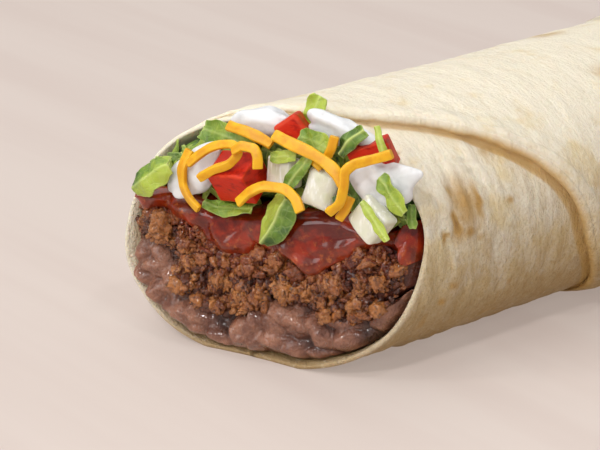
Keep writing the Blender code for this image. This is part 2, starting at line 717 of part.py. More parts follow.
def build_toppings():
    """Make the toppings and press the cut pieces into the cream."""
    for spec in TOMATO_DICE + ONION_DICE + SHREDS + LEAVES:
        add_topping(spec)
    pressed_in = {
        "cream_1": (TOMATO_DICE[0],),
        "cream_2": (TOMATO_DICE[1],),
        "cream_3": (TOMATO_DICE[2], SHREDS[7]),
        "cream_4": (TOMATO_DICE[2], ONION_DICE[2]),
    }
    for spec in DOLLOPS:
        cut_away(add_topping(spec), pressed_in[spec.name])


# --- The whole --------------------------------------------------------------------------------

def clear_scene():
    """Remove every object that the file opened with."""
    for obj in list(bpy.data.objects):
        bpy.data.objects.remove(obj, do_unlink=True)


def centre_on_origin():
    """Shift every mesh so that the origin lies under the middle of the whole."""
    shown = [obj for obj in bpy.data.objects if not obj.hide_render]
    corners = [v.co for obj in shown for v in obj.data.vertices]
    low = [min(c[k] for c in corners) for k in range(3)]
    high = [max(c[k] for c in corners) for k in range(3)]
    shift = Vector((-(low[0] + high[0]) / 2, -(low[1] + high[1]) / 2, -low[2]))
    for obj in bpy.data.objects:
        obj.data.transform(Matrix.Translation(shift))


def main():
    """Build the burrito."""
    clear_scene()
    build_tortilla()
    build_layers()
    build_toppings()
    centre_on_origin()


main()
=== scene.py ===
"""Looks of a burrito with an open end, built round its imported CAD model.

Sizes are millimetres and angles are degrees unless a name says otherwise. Shapes are worked out
in the mouth's own frame: +Y runs back along the burrito from the middle of the mouth, +X to the
right, +Z up from the table. A place at the mouth is (x, z, out), with out in front of its plane.
Kitchen.frame_points moves finished points to where the CAD model lies, in metres.
"""
import logging
import math
from dataclasses import dataclass, field
from enum import Enum
from typing import Any, Callable, Iterable, Mapping, Optional, Sequence, Union

import bmesh
import bpy
import numpy as np
from mathutils import Matrix, Vector, noise


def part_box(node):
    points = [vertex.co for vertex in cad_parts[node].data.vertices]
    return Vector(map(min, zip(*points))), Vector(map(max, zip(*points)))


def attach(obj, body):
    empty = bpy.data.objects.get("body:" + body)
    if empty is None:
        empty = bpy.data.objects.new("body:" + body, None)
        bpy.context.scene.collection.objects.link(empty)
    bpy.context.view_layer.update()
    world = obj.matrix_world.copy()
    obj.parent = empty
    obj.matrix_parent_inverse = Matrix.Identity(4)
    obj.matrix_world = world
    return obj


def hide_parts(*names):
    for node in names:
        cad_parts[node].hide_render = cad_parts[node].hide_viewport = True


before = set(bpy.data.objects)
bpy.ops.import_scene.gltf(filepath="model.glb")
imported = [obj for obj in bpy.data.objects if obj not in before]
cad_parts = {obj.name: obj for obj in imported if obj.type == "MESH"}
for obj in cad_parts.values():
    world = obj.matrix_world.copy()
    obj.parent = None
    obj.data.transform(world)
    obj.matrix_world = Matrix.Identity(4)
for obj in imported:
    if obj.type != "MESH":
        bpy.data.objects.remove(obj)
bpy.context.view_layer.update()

LOG = logging.getLogger("burrito")
MM = 0.001
SEED_STEP = 7.31    # how far apart in the noise two neighbouring seeds look
Points = np.ndarray
Faces = list[tuple[int, ...]]
Colour = tuple[float, float, float]


# --- Numbers, curves and random fields --------------------------------------------------------

def tint(red: int, green: int, blue: int) -> Colour:
    """Turn screen values, 0 to 255, into the linear colour that shaders use."""
    return tuple(((c / 255 + 0.055) / 1.055) ** 2.4 if c > 10 else c / 255 / 12.92
                 for c in (red, green, blue))


def signed_power(value: np.ndarray, power: float) -> np.ndarray:
    """Raise numbers to a power and keep their signs."""
    return np.sign(value) * np.abs(value) ** power


def soft_step(distance: np.ndarray, width: float) -> np.ndarray:
    """0 well before a line and 1 well past it, changing over about width."""
    return 1 / (1 + np.exp(np.clip(-4 * np.asarray(distance) / width, -60, 60)))


def grain(points: Points, size: float, seed: float = 0.0) -> np.ndarray:
    """Smooth random values at points.

    Args:
        points: Places, one row each.
        size: Distance over which the values change; one number or one for each axis.
        seed: Picks another set of values.

    Returns:
        One value for each point, about -1 to 1.
    """
    moved = points / np.asarray(size, float) + seed * SEED_STEP
    return np.fromiter((noise.noise(p) for p in moved.tolist()), float, len(points))


class Curve:
    """A smooth line through points (x, y) that never overshoots them, flat beyond its ends."""

    def __init__(self, points: Iterable[tuple[float, float]]) -> None:
        """Work out the slope at each point.

        Args:
            points: (x, y) of each point, from the left.
        """
        self.x, self.y = np.array(list(points), float).T
        rise = np.diff(self.y) / np.diff(self.x)
        before, after = rise[:-1], rise[1:]
        same = before * after > 0
        middle = np.where(same, 2 * before * after / np.where(same, before + after, 1.0), 0.0)
        self.slope = np.concatenate(([rise[0]], middle, [rise[-1]]))

    def __call__(self, x: Any) -> np.ndarray:
        """Read the line.

        Args:
            x: Where to read it, one number or many.

        Returns:
            Its height there.
        """
        x = np.clip(x, self.x[0], self.x[-1])
        k = np.clip(np.searchsorted(self.x, x, "right") - 1, 0, len(self.x) - 2)
        run = self.x[k + 1] - self.x[k]
        t = (x - self.x[k]) / run
        return ((2 * t**3 - 3 * t**2 + 1) * self.y[k] + (t**3 - 2 * t**2 + t) * run * self.slope[k]
                + (3 * t**2 - 2 * t**3) * self.y[k + 1] + (t**3 - t**2) * run * self.slope[k + 1])


# --- The form that every piece is placed by ---------------------------------------------------

@dataclass(frozen=True)
class Wrap:
    """Section of the rolled tortilla and plane of its mouth, as the CAD model has them."""

    width: float = 68.0
    height: float = 52.4
    settled: float = 0.9
    squareness: float = 2.28
    narrowing: float = 0.045
    rising: float = 0.027
    taper_run: float = 116.0
    lean: float = 0.23
    turn: float = 0.38
    wall: float = 1.8
    rim_wall: float = 1.1
    gap: float = 0.3
    layer_gap: float = 0.4
    length: float = 136.0
    cap_length: float = 21.0
    filling_end: float = 110.0
    oval_middle: float = 26.0
    oval_power: float = 2.3

    def half_sizes(self, y: Any) -> tuple[np.ndarray, np.ndarray]:
        """Half width and half height of the outer section at y."""
        run = np.clip(np.asarray(y, float) / self.taper_run, 0, 1)
        return self.width / 2 * (1 - self.narrowing * run), self.height / 2 * (1 + self.rising * run)

    def section(self, y: Any, angle: Any, grow: Any = 0.0) -> tuple[np.ndarray, np.ndarray]:
        """Points of the section at y, moved outwards.

        Args:
            y: Distance back from the middle of the mouth.
            angle: Angle round the wrap: 0 at the right, 90 at the top.
            grow: Distance outwards.

        Returns:
            x and z of each point.
        """
        a, b = self.half_sizes(y)
        turn = np.radians(angle)
        ux = signed_power(np.cos(turn), 2 / self.squareness)
        uz = signed_power(np.sin(turn), 2 / self.squareness)
        nx = signed_power(ux, self.squareness - 1) / a
        nz = signed_power(uz, self.squareness - 1) / b
        length = np.hypot(nx, nz)
        x = a * ux + grow * nx / length
        z = b * (1 + uz) + grow * nz / length
        floor = self.settled + np.maximum(-np.asarray(grow, float), 0.0)
        return x, np.maximum(z, floor) - self.settled

    def shoulder(self) -> float:
        """Where the tucked end starts."""
        return self.length - self.cap_length

    def ring(self, y: np.ndarray, angles: np.ndarray, grow: Any) -> Points:
        """Points (x, y, z) of the section, each at its own y."""
        x, z = self.section(y, angles, grow)
        return np.stack([x, y, z], 1)

    def mouth_y(self, x: Any, z: Any) -> Any:
        """Where the mouth's plane passes x and z."""
        return self.lean * (z - self.height / 2) + self.turn * x

    def at_mouth(self, x: Any, z: Any, out: Any) -> Points:
        """Points that stand out in front of the mouth's plane."""
        return np.stack([np.asarray(x, float), self.mouth_y(x, z) - out, np.asarray(z, float)], -1)

    def axes(self) -> Matrix:
        """Directions that pieces at the mouth are turned by.

        Returns:
            Rotation whose axes run right along the mouth, into it, and up along it.
        """
        outward = Vector((self.turn, -1.0, self.lean)).normalized()
        right = Vector((1.0, self.turn, 0.0)).normalized()
        return Matrix((right, -outward, outward.cross(right))).transposed()

    def rim_wave(self, angle: Any) -> np.ndarray:
        """Unevenness of the mouth's edge along Y."""
        turn = np.radians(angle)
        return 0.5 * np.sin(3 * turn + 0.7) + 0.3 * np.sin(7 * turn)

    def rim_y(self, angle: Any) -> np.ndarray:
        """Where the mouth's uneven edge lies along Y."""
        return self.mouth_y(*self.section(0.0, angle)) + self.rim_wave(angle)

    def behind_mouth(self, points: Points) -> np.ndarray:
        """How far each point lies behind the mouth's plane, along Y."""
        return points[:, 1] - self.mouth_y(points[:, 0], points[:, 2])

    def oval(self, x: float, z: float, half_width: float, half_height: float) -> float:
        """0 in the middle of the mouth and 1 on a squarish oval of these half sizes."""
        away = abs(z - self.oval_middle)
        return (abs(x) / half_width) ** self.oval_power + (away / half_height) ** self.oval_power

    def crown(self, x: Any, z: Any) -> np.ndarray:
        """1 in the middle of the mouth, falling to 0 at its edge."""
        a, b = self.half_sizes(0.0)
        return np.maximum(0.0, 1 - (np.abs(x) / a) ** 3 - (np.abs(z - b) / b) ** 3)


WRAP = Wrap()


# --- Meshes -----------------------------------------------------------------------------------

def grid_faces(rows: int, cols: int, start: int = 0) -> Faces:
    """Quads of a grid of points, numbered row by row.

    Args:
        rows: Rows of points.
        cols: Points in each row.
        start: Number of the first point.

    Returns:
        The quads.
    """
    return [(start + j * cols + i, start + j * cols + i + 1,
             start + (j + 1) * cols + i + 1, start + (j + 1) * cols + i)
            for j in range(rows - 1) for i in range(cols - 1)]


def ring_faces(rings: int, count: int, start: int = 0) -> Faces:
    """Quads between closed rings.

    Args:
        rings: Number of rings.
        count: Points in each ring.
        start: Number of the first point.

    Returns:
        The quads.
    """
    return [(start + r * count + j, start + r * count + (j + 1) % count,
             start + (r + 1) * count + (j + 1) % count, start + (r + 1) * count + j)
            for r in range(rings - 1) for j in range(count)]


def edge_loop(rows: int, cols: int) -> list[int]:
    """Find a grid's outer points.

    Args:
        rows: Rows of points.
        cols: Points in each row.

    Returns:
        Their numbers, in order round it.
    """
    return (list(range(cols)) + [j * cols + cols - 1 for j in range(1, rows)]
            + [(rows - 1) * cols + i for i in range(cols - 2, -1, -1)]
            + [j * cols for j in range(rows - 2, 0, -1)])


def ball(subdivisions: int) -> tuple[Points, Faces]:
    """Make an even ball of radius 1.

    Args:
        subdivisions: How finely it is divided.

    Returns:
        Its points and its triangles.
    """
    bm = bmesh.new()
    bmesh.ops.create_icosphere(bm, subdivisions=subdivisions, radius=1.0)
    points = np.array([v.co[:] for v in bm.verts])
    faces = [tuple(v.index for v in f.verts) for f in bm.faces]
    bm.free()
    return points, faces


@dataclass
class Shape:
    """A mesh in the making: points, faces and values that its finish reads."""

    points: Points
    faces: Faces
    values: dict[str, np.ndarray] = field(default_factory=dict)

    @staticmethod
    def joined(parts: Sequence["Shape"]) -> "Shape":
        """Join shapes into one.

        Args:
            parts: Shapes that carry the same values.

        Returns:
            The whole, with their values.
        """
        offsets = np.cumsum([0] + [len(p.points) for p in parts])
        faces = [tuple(int(v + o) for v in f) for p, o in zip(parts, offsets) for f in p.faces]
        values = {k: np.concatenate([p.values[k] for p in parts]) for k in parts[0].values}
        return Shape(np.concatenate([p.points for p in parts]), faces, values)

    def normals(self) -> Points:
        """Work out the outward directions.

        Returns:
            One of length 1 for each point.
        """
        mesh = bpy.data.meshes.new("measure")
        mesh.from_pydata(self.points.tolist(), [], self.faces)
        out = np.zeros(len(self.points) * 3, np.float32)
        mesh.vertex_normals.foreach_get("vector", out)
        bpy.data.meshes.remove(mesh)
        return out.reshape(-1, 3).astype(float)

    def centred_on(self, node: str, kitchen: "Kitchen") -> "Shape":
        """Shift the shape so that its box is centred on a CAD node's box.

        Args:
            node: The node's name.
            kitchen: What knows where the CAD model lies.

        Returns:
            The same shape, moved.
        """
        low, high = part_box(node)
        target = (np.array(low + high) / 2 - kitchen.origin) / MM
        self.points = self.points + target - (self.points.min(0) + self.points.max(0)) / 2
        return self


# --- Materials --------------------------------------------------------------------------------

Value = Union["Term", float, int, Sequence[float]]


class Term:
    """A value inside a material, on which Python's operators add Math nodes."""

    def __init__(self, graph: "Graph", socket: bpy.types.NodeSocket) -> None:
        """Wrap a node's output."""
        self.graph = graph
        self.socket = socket

    def _math(self, operation: str, *values: Value) -> "Term":
        """Add one Math node."""
        return self.graph.node("ShaderNodeMath", {"operation": operation}, dict(enumerate(values)))

    def __add__(self, other: Value) -> "Term":
        """Sum."""
        return self._math("ADD", self, other)

    __radd__ = __add__

    def __sub__(self, other: Value) -> "Term":
        """Difference."""
        return self._math("SUBTRACT", self, other)

    def __rsub__(self, other: Value) -> "Term":
        """Difference from a number."""
        return self._math("SUBTRACT", other, self)

    def __mul__(self, other: Value) -> "Term":
        """Product."""
        return self._math("MULTIPLY", self, other)

    __rmul__ = __mul__

    def between(self, low: float, high: float) -> "Term":
        """Rise smoothly from 0 to 1.

        Args:
            low: Value at which it is 0.
            high: Value at which it is 1.

        Returns:
            The new value.
        """
        settings = {"interpolation_type": "SMOOTHSTEP", "clamp": True}
        return self.graph.node("ShaderNodeMapRange", settings,
                               {"Value": self, "From Min": low, "From Max": high})


class Graph:
    """The node tree of one material."""

    def __init__(self, name: str) -> None:
        """Start a material with its Principled shader.

        Args:
            name: The material's name.
        """
        self.material = bpy.data.materials.new(name)
        self.material.use_nodes = True
        self.tree = self.material.node_tree
        self.shader = self.tree.nodes["Principled BSDF"]

    def node(self, kind: str, settings: Optional[Mapping[str, Any]] = None,
             inputs: Optional[Mapping[Union[int, str], Value]] = None,
             output: Union[int, str] = 0) -> Term:
        """Add a node.

        Args:
            kind: Blender's name of the node type.
            settings: Properties that are set before its sockets.
            inputs: Values or links by socket name or number.
            output: The socket to hand back.

        Returns:
            The chosen output.
        """
        made = self.tree.nodes.new(kind)
        for key, value in (settings or {}).items():
            setattr(made, key, value)
        for key, value in (inputs or {}).items():
            self.feed(made.inputs[key], value)
        return Term(self, made.outputs[output])

    def feed(self, socket: bpy.types.NodeSocket, value: Value) -> None:
        """Link a term to a socket, or set the socket.

        Args:
            socket: The input to feed.
            value: A term to link or a constant.
        """
        if isinstance(value, Term):
            self.tree.links.new(value.socket, socket)
        elif isinstance(value, (int, float)):
            socket.default_value = value
        else:
            room = len(socket.default_value)
            socket.default_value = (*value, 1.0)[:room] if len(value) < room else value

    def spot(self, stretch: tuple[float, float, float] = (1.0, 1.0, 1.0)) -> Term:
        """Place on the object, in metres, stretched along each axis."""
        place = self.node("ShaderNodeTexCoord", output="Object")
        return self.node("ShaderNodeVectorMath", {"operation": "MULTIPLY"}, {0: place, 1: stretch})

    def clouds(self, size: float, detail: float = 3.0, roughness: float = 0.5,
               place: Optional[Term] = None) -> Term:
        """Random clouds.

        Args:
            size: Width of their patches in millimetres.
            detail: How many finer layers they have.
            roughness: How strong the finer layers are.
            place: Where to look, the object's own place at first.

        Returns:
            A value of about 0 to 1.
        """
        inputs = {"Vector": place or self.spot(), "Scale": 1 / (size * MM), "Detail": detail,
                  "Roughness": roughness}
        return self.node("ShaderNodeTexNoise", None, inputs)

    def reading(self, name: str, output: str = "Fac") -> Term:
        """A value that the mesh carries."""
        return self.node("ShaderNodeAttribute", {"attribute_name": name}, output=output)

    def mix(self, base: Value, *coats: tuple[Value, Value]) -> Value:
        """Lay colours over a base.

        Args:
            base: The colour below.
            coats: Each colour over it and its share, from the lowest up.

        Returns:
            The colour on top.
        """
        for colour, share in coats:
            # A colour blend's factor is input 0, its two colours are inputs 6 and 7, its output is 2.
            base = self.node("ShaderNodeMix", {"data_type": "RGBA"}, {0: share, 6: base, 7: colour}, 2)
        return base

    def bump(self, height: Term, distance: float, strength: float = 1.0) -> Term:
        """Light the surface as if it had a relief.

        Args:
            height: The relief, 0 to 1.
            distance: Its depth in millimetres.
            strength: Its weight.

        Returns:
            The normal.
        """
        return self.node("ShaderNodeBump", None,
                         {"Height": height, "Distance": distance * MM, "Strength": strength})


@dataclass(frozen=True)
class Finish:
    """What every finish has: its name, a slot name, and how light enters it."""

    name: str
    slot: str
    roughness: float = 0.5
    subsurface: float = 0.0
    reach: Colour = (1.0, 0.5, 0.25)    # how far each colour travels inside, in millimetres
    coat: float = 0.0
    coat_roughness: float = 0.05
    specular: float = 0.5
    painted_glow: float = 0.0                   # painted light given out, as a share of its colour

    def material(self) -> bpy.types.Material:
        """Make the material, once.

        Returns:
            The material of this finish.
        """
        made = bpy.data.materials.get(self.name)
        if made:
            return made
        graph = Graph(self.name)
        constants = {"Roughness": self.roughness, "Subsurface Weight": self.subsurface,
                     "Subsurface Radius": self.reach, "Subsurface Scale": MM,
                     "Coat Weight": self.coat, "Coat Roughness": self.coat_roughness,
                     "Specular IOR Level": self.specular, "Emission Strength": self.painted_glow}
        for name, value in constants.items():
            graph.feed(graph.shader.inputs[name], value)
        for name, term in self.varying(graph).items():
            graph.feed(graph.shader.inputs[name], term)
        return graph.material

    def varying(self, graph: Graph) -> dict[str, Term]:
        """Inputs of the shader that change over the surface.

        Args:
            graph: The material's node tree.

        Returns:
            The shader's varying inputs by name.
        """
        raise NotImplementedError


@dataclass(frozen=True)
class TortillaFinish(Finish):
    """Soft wheat tortilla: floury, mottled, toasted spots; painted shade low down and under its flap."""

    dough: Colour = tint(226, 207, 167)
    flour: Colour = tint(236, 226, 204)
    # The next colour makes streaks and is also painted shade on the lower sides; the one after is painted
    # shade on the lowest sides.
    oily_streak_and_low_shade: Colour = tint(176, 141, 82)
    deep: Colour = tint(140, 106, 56)
    # Painted shade under the flap's lip.
    painted_flap_shade: Colour = tint(204, 164, 90)
    gold: Colour = tint(184, 144, 82)
    char: Colour = tint(112, 64, 28)

    def varying(self, graph: Graph) -> dict[str, Term]:
        """Mottled colour, toasted spots, painted shade and light, and a fine fibrous relief.

        Args:
            graph: The material's node tree.

        Returns:
            The shader's varying inputs by name.
        """
        unrolled = graph.reading("unrolled", "Vector")
        fibres = graph.clouds(0.9, 5.0, 0.65, unrolled) * 0.65 + graph.clouds(0.55, 3.0, 0.6) * 0.35
        streaks = graph.clouds(2.8, 5.0, 0.62, unrolled)
        patches = graph.clouds(9.0, 4.0, 0.62)
        pores = graph.clouds(0.9, 3.0, 0.6)
        height = graph.node("ShaderNodeSeparateXYZ", None, {0: graph.spot()}, 2)
        # 1 at the table, falling to 0 at 52 mm up: it weights the painted shade on the lower sides.
        low = 1 - height.between(0.0, 0.052)
        toast_and_shade = graph.reading("toast")
        toast_and_shade = toast_and_shade + (pores + fibres - 1) * 0.14 * toast_and_shade.between(0.04, 0.4)
        colour = graph.mix(
            self.dough,
            (self.flour, (patches * 1.2 + height * 9 - 0.42).between(0.3, 0.62)),
            # The next four coats darken the lower sides as painted shade; the first two also make streaks
            # and fibres.
            (self.oily_streak_and_low_shade, (1 - streaks.between(0.32, 0.6)) * (0.06 + low * 0.6)),
            (self.oily_streak_and_low_shade, (1 - fibres.between(0.36, 0.52)) * (0.12 + low * 0.55)),
            (self.oily_streak_and_low_shade, low * low * 0.6),
            (self.deep, low * low * low * (0.35 + 0.4 * streaks)),
            (self.flour, fibres.between(0.54, 0.7) * (0.15 + low * 0.35)),
            # Painted shade under the flap's lip, from the fold value.
            (self.painted_flap_shade, graph.reading("fold").between(0.05, 0.8) * 0.75),
            # The toast value also carries a little painted shade under the flap.
            (self.gold, toast_and_shade.between(0.06, 0.7)),
            (self.char, toast_and_shade.between(0.62, 1.15) * 0.85),
            # Painted light on the mouth's thin edge.
            (self.flour, graph.reading("rim") * 0.9))
        relief = fibres * 1.3 + streaks * 0.3 + pores * 0.6
        return {"Base Color": colour, "Roughness": 0.85 - 0.2 * patches.between(0.35, 0.6),
                "Normal": graph.bump(relief * (0.35 + 0.65 * low.between(0.05, 0.5)), 0.95, 1.0)}


@dataclass(frozen=True)
class BeanFinish(Finish):
    """Mashed beans: dull pink-brown paste with paler skins, and painted shade in its hollows."""

    paste: Colour = tint(102, 57, 38)
    skin: Colour = tint(158, 106, 80)
    hollow_shade_and_fleck: Colour = tint(56, 26, 14)

    def varying(self, graph: Graph) -> dict[str, Term]:
        """Paler skins, painted light on the lumps' tops, painted shade in the hollows, moist patches.

        Args:
            graph: The material's node tree.

        Returns:
            The shader's varying inputs by name.
        """
        clouds = graph.clouds(3.4, 5.0, 0.62)
        fine = graph.clouds(0.8, 3.0, 0.65)
        rise = graph.reading("rise")
        colour = graph.mix(
            self.paste,
            # Skins, paler still on the lumps' tops: painted light.
            (self.skin, (clouds * 0.8 + rise * 0.35).between(0.48, 0.85)),
            # Painted shade in the hollows between lumps; the next coat is random dark flecks.
            (self.hollow_shade_and_fleck, (1 - rise.between(0.05, 0.5)) * 0.8),
            (self.hollow_shade_and_fleck, (1 - fine.between(0.3, 0.45)) * 0.25),
            (self.skin, fine.between(0.58, 0.72) * 0.25))
        wet = graph.clouds(2.6, 3.0).between(0.44, 0.56)
        height = graph.clouds(1.7, 5.0, 0.68) + fine * 0.4
        return {"Base Color": colour, "Roughness": 0.5 - 0.3 * wet,
                "Normal": graph.bump(height, 0.9, 1.0)}


@dataclass(frozen=True)
class BeefFinish(Finish):
    """Minced beef: warm brown crumbs that differ from one to the next, with painted shade in their gaps.
    """

    brown: Colour = tint(124, 57, 20)
    pale: Colour = tint(182, 114, 54)
    dark: Colour = tint(42, 16, 8)
    red: Colour = tint(136, 34, 12)

    def varying(self, graph: Graph) -> dict[str, Term]:
        """Crumb by crumb tone with painted shade in the gaps, glazed redder near the sauce.

        Args:
            graph: The material's node tree.

        Returns:
            The shader's varying inputs by name.
        """
        tone = graph.reading("tone")
        clouds = graph.clouds(1.0, 4.0, 0.7)
        colour = graph.mix(
            self.brown,
            (self.pale, (tone * 0.55 + clouds * 0.65).between(0.44, 0.84)),
            (self.dark, (1 - clouds.between(0.32, 0.52)) * 0.75),
            # Darker where the tone is low: at random from crumb to crumb, and painted shade in the gaps
            # between clumps and over the core.
            (self.dark, (1 - tone.between(0.0, 0.5)) * 0.75),
            (self.red, graph.reading("glaze") * 0.6))
        wet = graph.clouds(1.6, 2.0).between(0.43, 0.55)
        return {"Base Color": colour, "Roughness": 0.56 - 0.36 * wet,
                "Normal": graph.bump(graph.clouds(0.6, 4.0, 0.75), 0.6, 1.0)}


@dataclass(frozen=True)
class SauceFinish(Finish):
    """Red chilli sauce: wet, deep red, more orange where it is thin."""

    deep: Colour = tint(92, 16, 5)
    bright: Colour = tint(148, 36, 8)
    thin: Colour = tint(192, 100, 36)

    def varying(self, graph: Graph) -> dict[str, Term]:
        """Clouded red with orange over its thin places.

        Args:
            graph: The material's node tree.

        Returns:
            The shader's varying inputs by name.
        """
        clouds = graph.clouds(5.0, 4.0, 0.6)
        bits = graph.clouds(1.5, 4.0, 0.65).between(0.54, 0.7)
        thin = graph.reading("thin")
        colour = graph.mix(
            self.deep,
            (self.bright, clouds.between(0.4, 0.62)),
            (self.thin, thin * (0.15 + bits * 0.8)),
            (self.thin, bits * 0.2))
        return {"Base Color": colour, "Roughness": 0.13 + 0.1 * clouds + thin * 0.2,
                "Normal": graph.bump(graph.clouds(3.0, 2.0, 0.5) + thin * bits * 0.6, 0.4, 0.45)}


@dataclass(frozen=True)
class CreamFinish(Finish):
    """Soured cream: smooth white with the faintest streaks."""

    white: Colour = tint(226, 226, 226)
    shade: Colour = tint(202, 202, 202)

    def varying(self, graph: Graph) -> dict[str, Term]:
        """Nearly even white, drawn out in soft streaks.

        Args:
            graph: The material's node tree.

        Returns:
            The shader's varying inputs by name.
        """
        clouds = graph.clouds(3.5, 3.0, 0.5)
        return {"Base Color": graph.mix(self.white, (self.shade, clouds.between(0.45, 0.75))),
                "Roughness": 0.3 + 0.16 * clouds,
                "Normal": graph.bump(graph.clouds(2.4, 3.0, 0.5), 0.3, 0.35)}


@dataclass(frozen=True)
class CheeseFinish(Finish):
    """Shredded hard cheese: waxy orange-yellow, a little paler at its corners."""

    body: Colour = tint(229, 170, 16)
    pale: Colour = tint(241, 197, 46)
    deep: Colour = tint(214, 148, 8)

    def varying(self, graph: Graph) -> dict[str, Term]:
        """Waxy clouding and the grater's fine lines along each shred.

        Args:
            graph: The material's node tree.

        Returns:
            The shader's varying inputs by name.
        """
        clouds = graph.clouds(3.2, 3.0, 0.55)
        colour = graph.mix(
            self.deep,
            (self.body, clouds.between(0.38, 0.6)),
            (self.pale, graph.reading("corner") * 0.4))
        lines = graph.clouds(0.5, 2.0, 0.5, graph.reading("grated", "Vector"))
        return {"Base Color": colour, "Roughness": 0.36 + 0.12 * clouds,
                "Normal": graph.bump(lines, 0.08, 0.5)}


@dataclass(frozen=True)
class TomatoFinish(Finish):
    """Diced tomato: wet red flesh with paler streaks."""

    flesh: Colour = tint(198, 40, 16)
    pale: Colour = tint(216, 82, 40)
    deep: Colour = tint(152, 18, 8)

    def varying(self, graph: Graph) -> dict[str, Term]:
        """Streaked flesh with small pale flecks.

        Args:
            graph: The material's node tree.

        Returns:
            The shader's varying inputs by name.
        """
        streaks = graph.clouds(2.4, 4.0, 0.6, graph.spot((1.0, 0.6, 2.2)))
        colour = graph.mix(
            self.deep,
            (self.flesh, streaks.between(0.3, 0.52)),
            (self.pale, streaks.between(0.6, 0.78) * 0.4),
            (self.pale, graph.reading("corner") * 0.3))
        return {"Base Color": colour, "Roughness": 0.3 + 0.16 * streaks,
                "Normal": graph.bump(graph.clouds(0.9, 3.0), 0.12, 0.5)}


@dataclass(frozen=True)
class OnionFinish(Finish):
    """Diced white onion: translucent, with fine lines along its layers."""

    flesh: Colour = tint(222, 220, 202)
    green: Colour = tint(206, 212, 170)
    line: Colour = tint(250, 250, 244)

    def varying(self, graph: Graph) -> dict[str, Term]:
        """Fine upright lines over a greenish white.

        Args:
            graph: The material's node tree.

        Returns:
            The shader's varying inputs by name.
        """
        lines = graph.clouds(0.7, 2.0, 0.5, graph.spot((1.0, 1.0, 0.16)))
        clouds = graph.clouds(4.0, 2.0)
        colour = graph.mix(
            self.flesh,
            (self.green, clouds.between(0.42, 0.72) * 0.6),
            (self.line, lines.between(0.5, 0.72) * 0.7))
        return {"Base Color": colour, "Roughness": 0.2 + 0.16 * clouds,
                "Normal": graph.bump(lines, 0.12, 0.6)}


@dataclass(frozen=True)
class LettuceFinish(Finish):
    """Lettuce: fresh green leaf, pale at its rib and torn edges."""

    light: Colour = tint(168, 184, 66)
    leaf: Colour = tint(106, 136, 42)
    dark: Colour = tint(44, 78, 24)
    rib: Colour = tint(204, 216, 132)

    def varying(self, graph: Graph) -> dict[str, Term]:
        """Leaf tone, faint veins, pale rib and torn edge.

        Args:
            graph: The material's node tree.

        Returns:
            The shader's varying inputs by name.
        """
        clouds = graph.clouds(2.6, 4.0, 0.6)
        veins = graph.node("ShaderNodeTexVoronoi", {"feature": "DISTANCE_TO_EDGE"},
                           {"Vector": graph.spot(), "Scale": 1 / (2.2 * MM)}, "Distance")
        net = 1 - veins.between(0.0, 0.1)
        shade = graph.reading("tone") + (clouds - 0.5) * 0.8
        colour = graph.mix(
            self.dark,
            (self.leaf, shade.between(0.0, 0.42)),
            (self.light, shade.between(0.35, 0.8)),
            (self.rib, net * 0.1),
            (self.rib, graph.reading("rib")))
        return {"Base Color": colour, "Roughness": 0.36 + 0.2 * clouds,
                "Normal": graph.bump(net * -0.2 + clouds, 0.4, 0.7)}


@dataclass(frozen=True)
class TableFinish(Finish):
    """Plain pale table top that glows a little: painted light that lifts the shadows on it."""

    pale: Colour = tint(168, 157, 150)
    shade: Colour = tint(165, 153, 146)

    def varying(self, graph: Graph) -> dict[str, Term]:
        """Very faint streaks along one direction, with the same colour given out as painted light.

        Args:
            graph: The material's node tree.

        Returns:
            The shader's varying inputs by name.
        """
        streaks = graph.clouds(20.0, 3.0, 0.5, graph.spot((0.08, 1.0, 1.0)))
        colour = graph.mix(self.pale, (self.shade, streaks.between(0.35, 0.7)))
        return {"Base Color": colour, "Emission Color": colour}


class Finishes(Enum):
    """The finishes of the burrito and of the table."""

    TORTILLA = TortillaFinish("wheat_tortilla", "tortilla", 0.7, 0.12, (2.2, 1.4, 0.7), specular=0.35)
    BEANS = BeanFinish("mashed_beans", "beans", 0.4, 0.1, (1.6, 0.7, 0.5),
                       coat=0.6, coat_roughness=0.08)
    BEEF = BeefFinish("minced_beef", "beef", 0.5, 0.05, (1.2, 0.5, 0.25),
                      coat=0.6, coat_roughness=0.08)
    SAUCE = SauceFinish("chilli_sauce", "sauce", 0.2, 0.1, (2.0, 0.5, 0.2),
                        coat=0.6, coat_roughness=0.03, specular=0.3)
    CREAM = CreamFinish("soured_cream", "cream", 0.35, 0.3, (1.6, 1.5, 1.4),
                        coat=0.1, coat_roughness=0.15)
    CHEESE = CheeseFinish("grated_cheese", "cheese", 0.4, 0.2, (1.8, 1.1, 0.2), specular=0.4)
    TOMATO = TomatoFinish("diced_tomato", "tomato", 0.3, 0.1, (1.6, 0.4, 0.2), specular=0.22)
    ONION = OnionFinish("diced_onion", "onion", 0.25, 0.45, (2.4, 2.4, 1.7), coat=0.25)
    LETTUCE = LettuceFinish("torn_lettuce", "lettuce", 0.4, 0.18, (0.8, 1.2, 0.2), specular=0.45)
    # The table's glow is painted light that lifts the shadows on it.
    TABLE = TableFinish("pale_table", "", 0.75, specular=0.12, painted_glow=0.82)


# --- Putting pieces in the scene --------------------------------------------------------------

SOFT_EDGES = 180.0      # the angle above which an edge stays sharp, which here none does
CRISP_EDGES = 60.0      # and which the corners of a cut strip pass


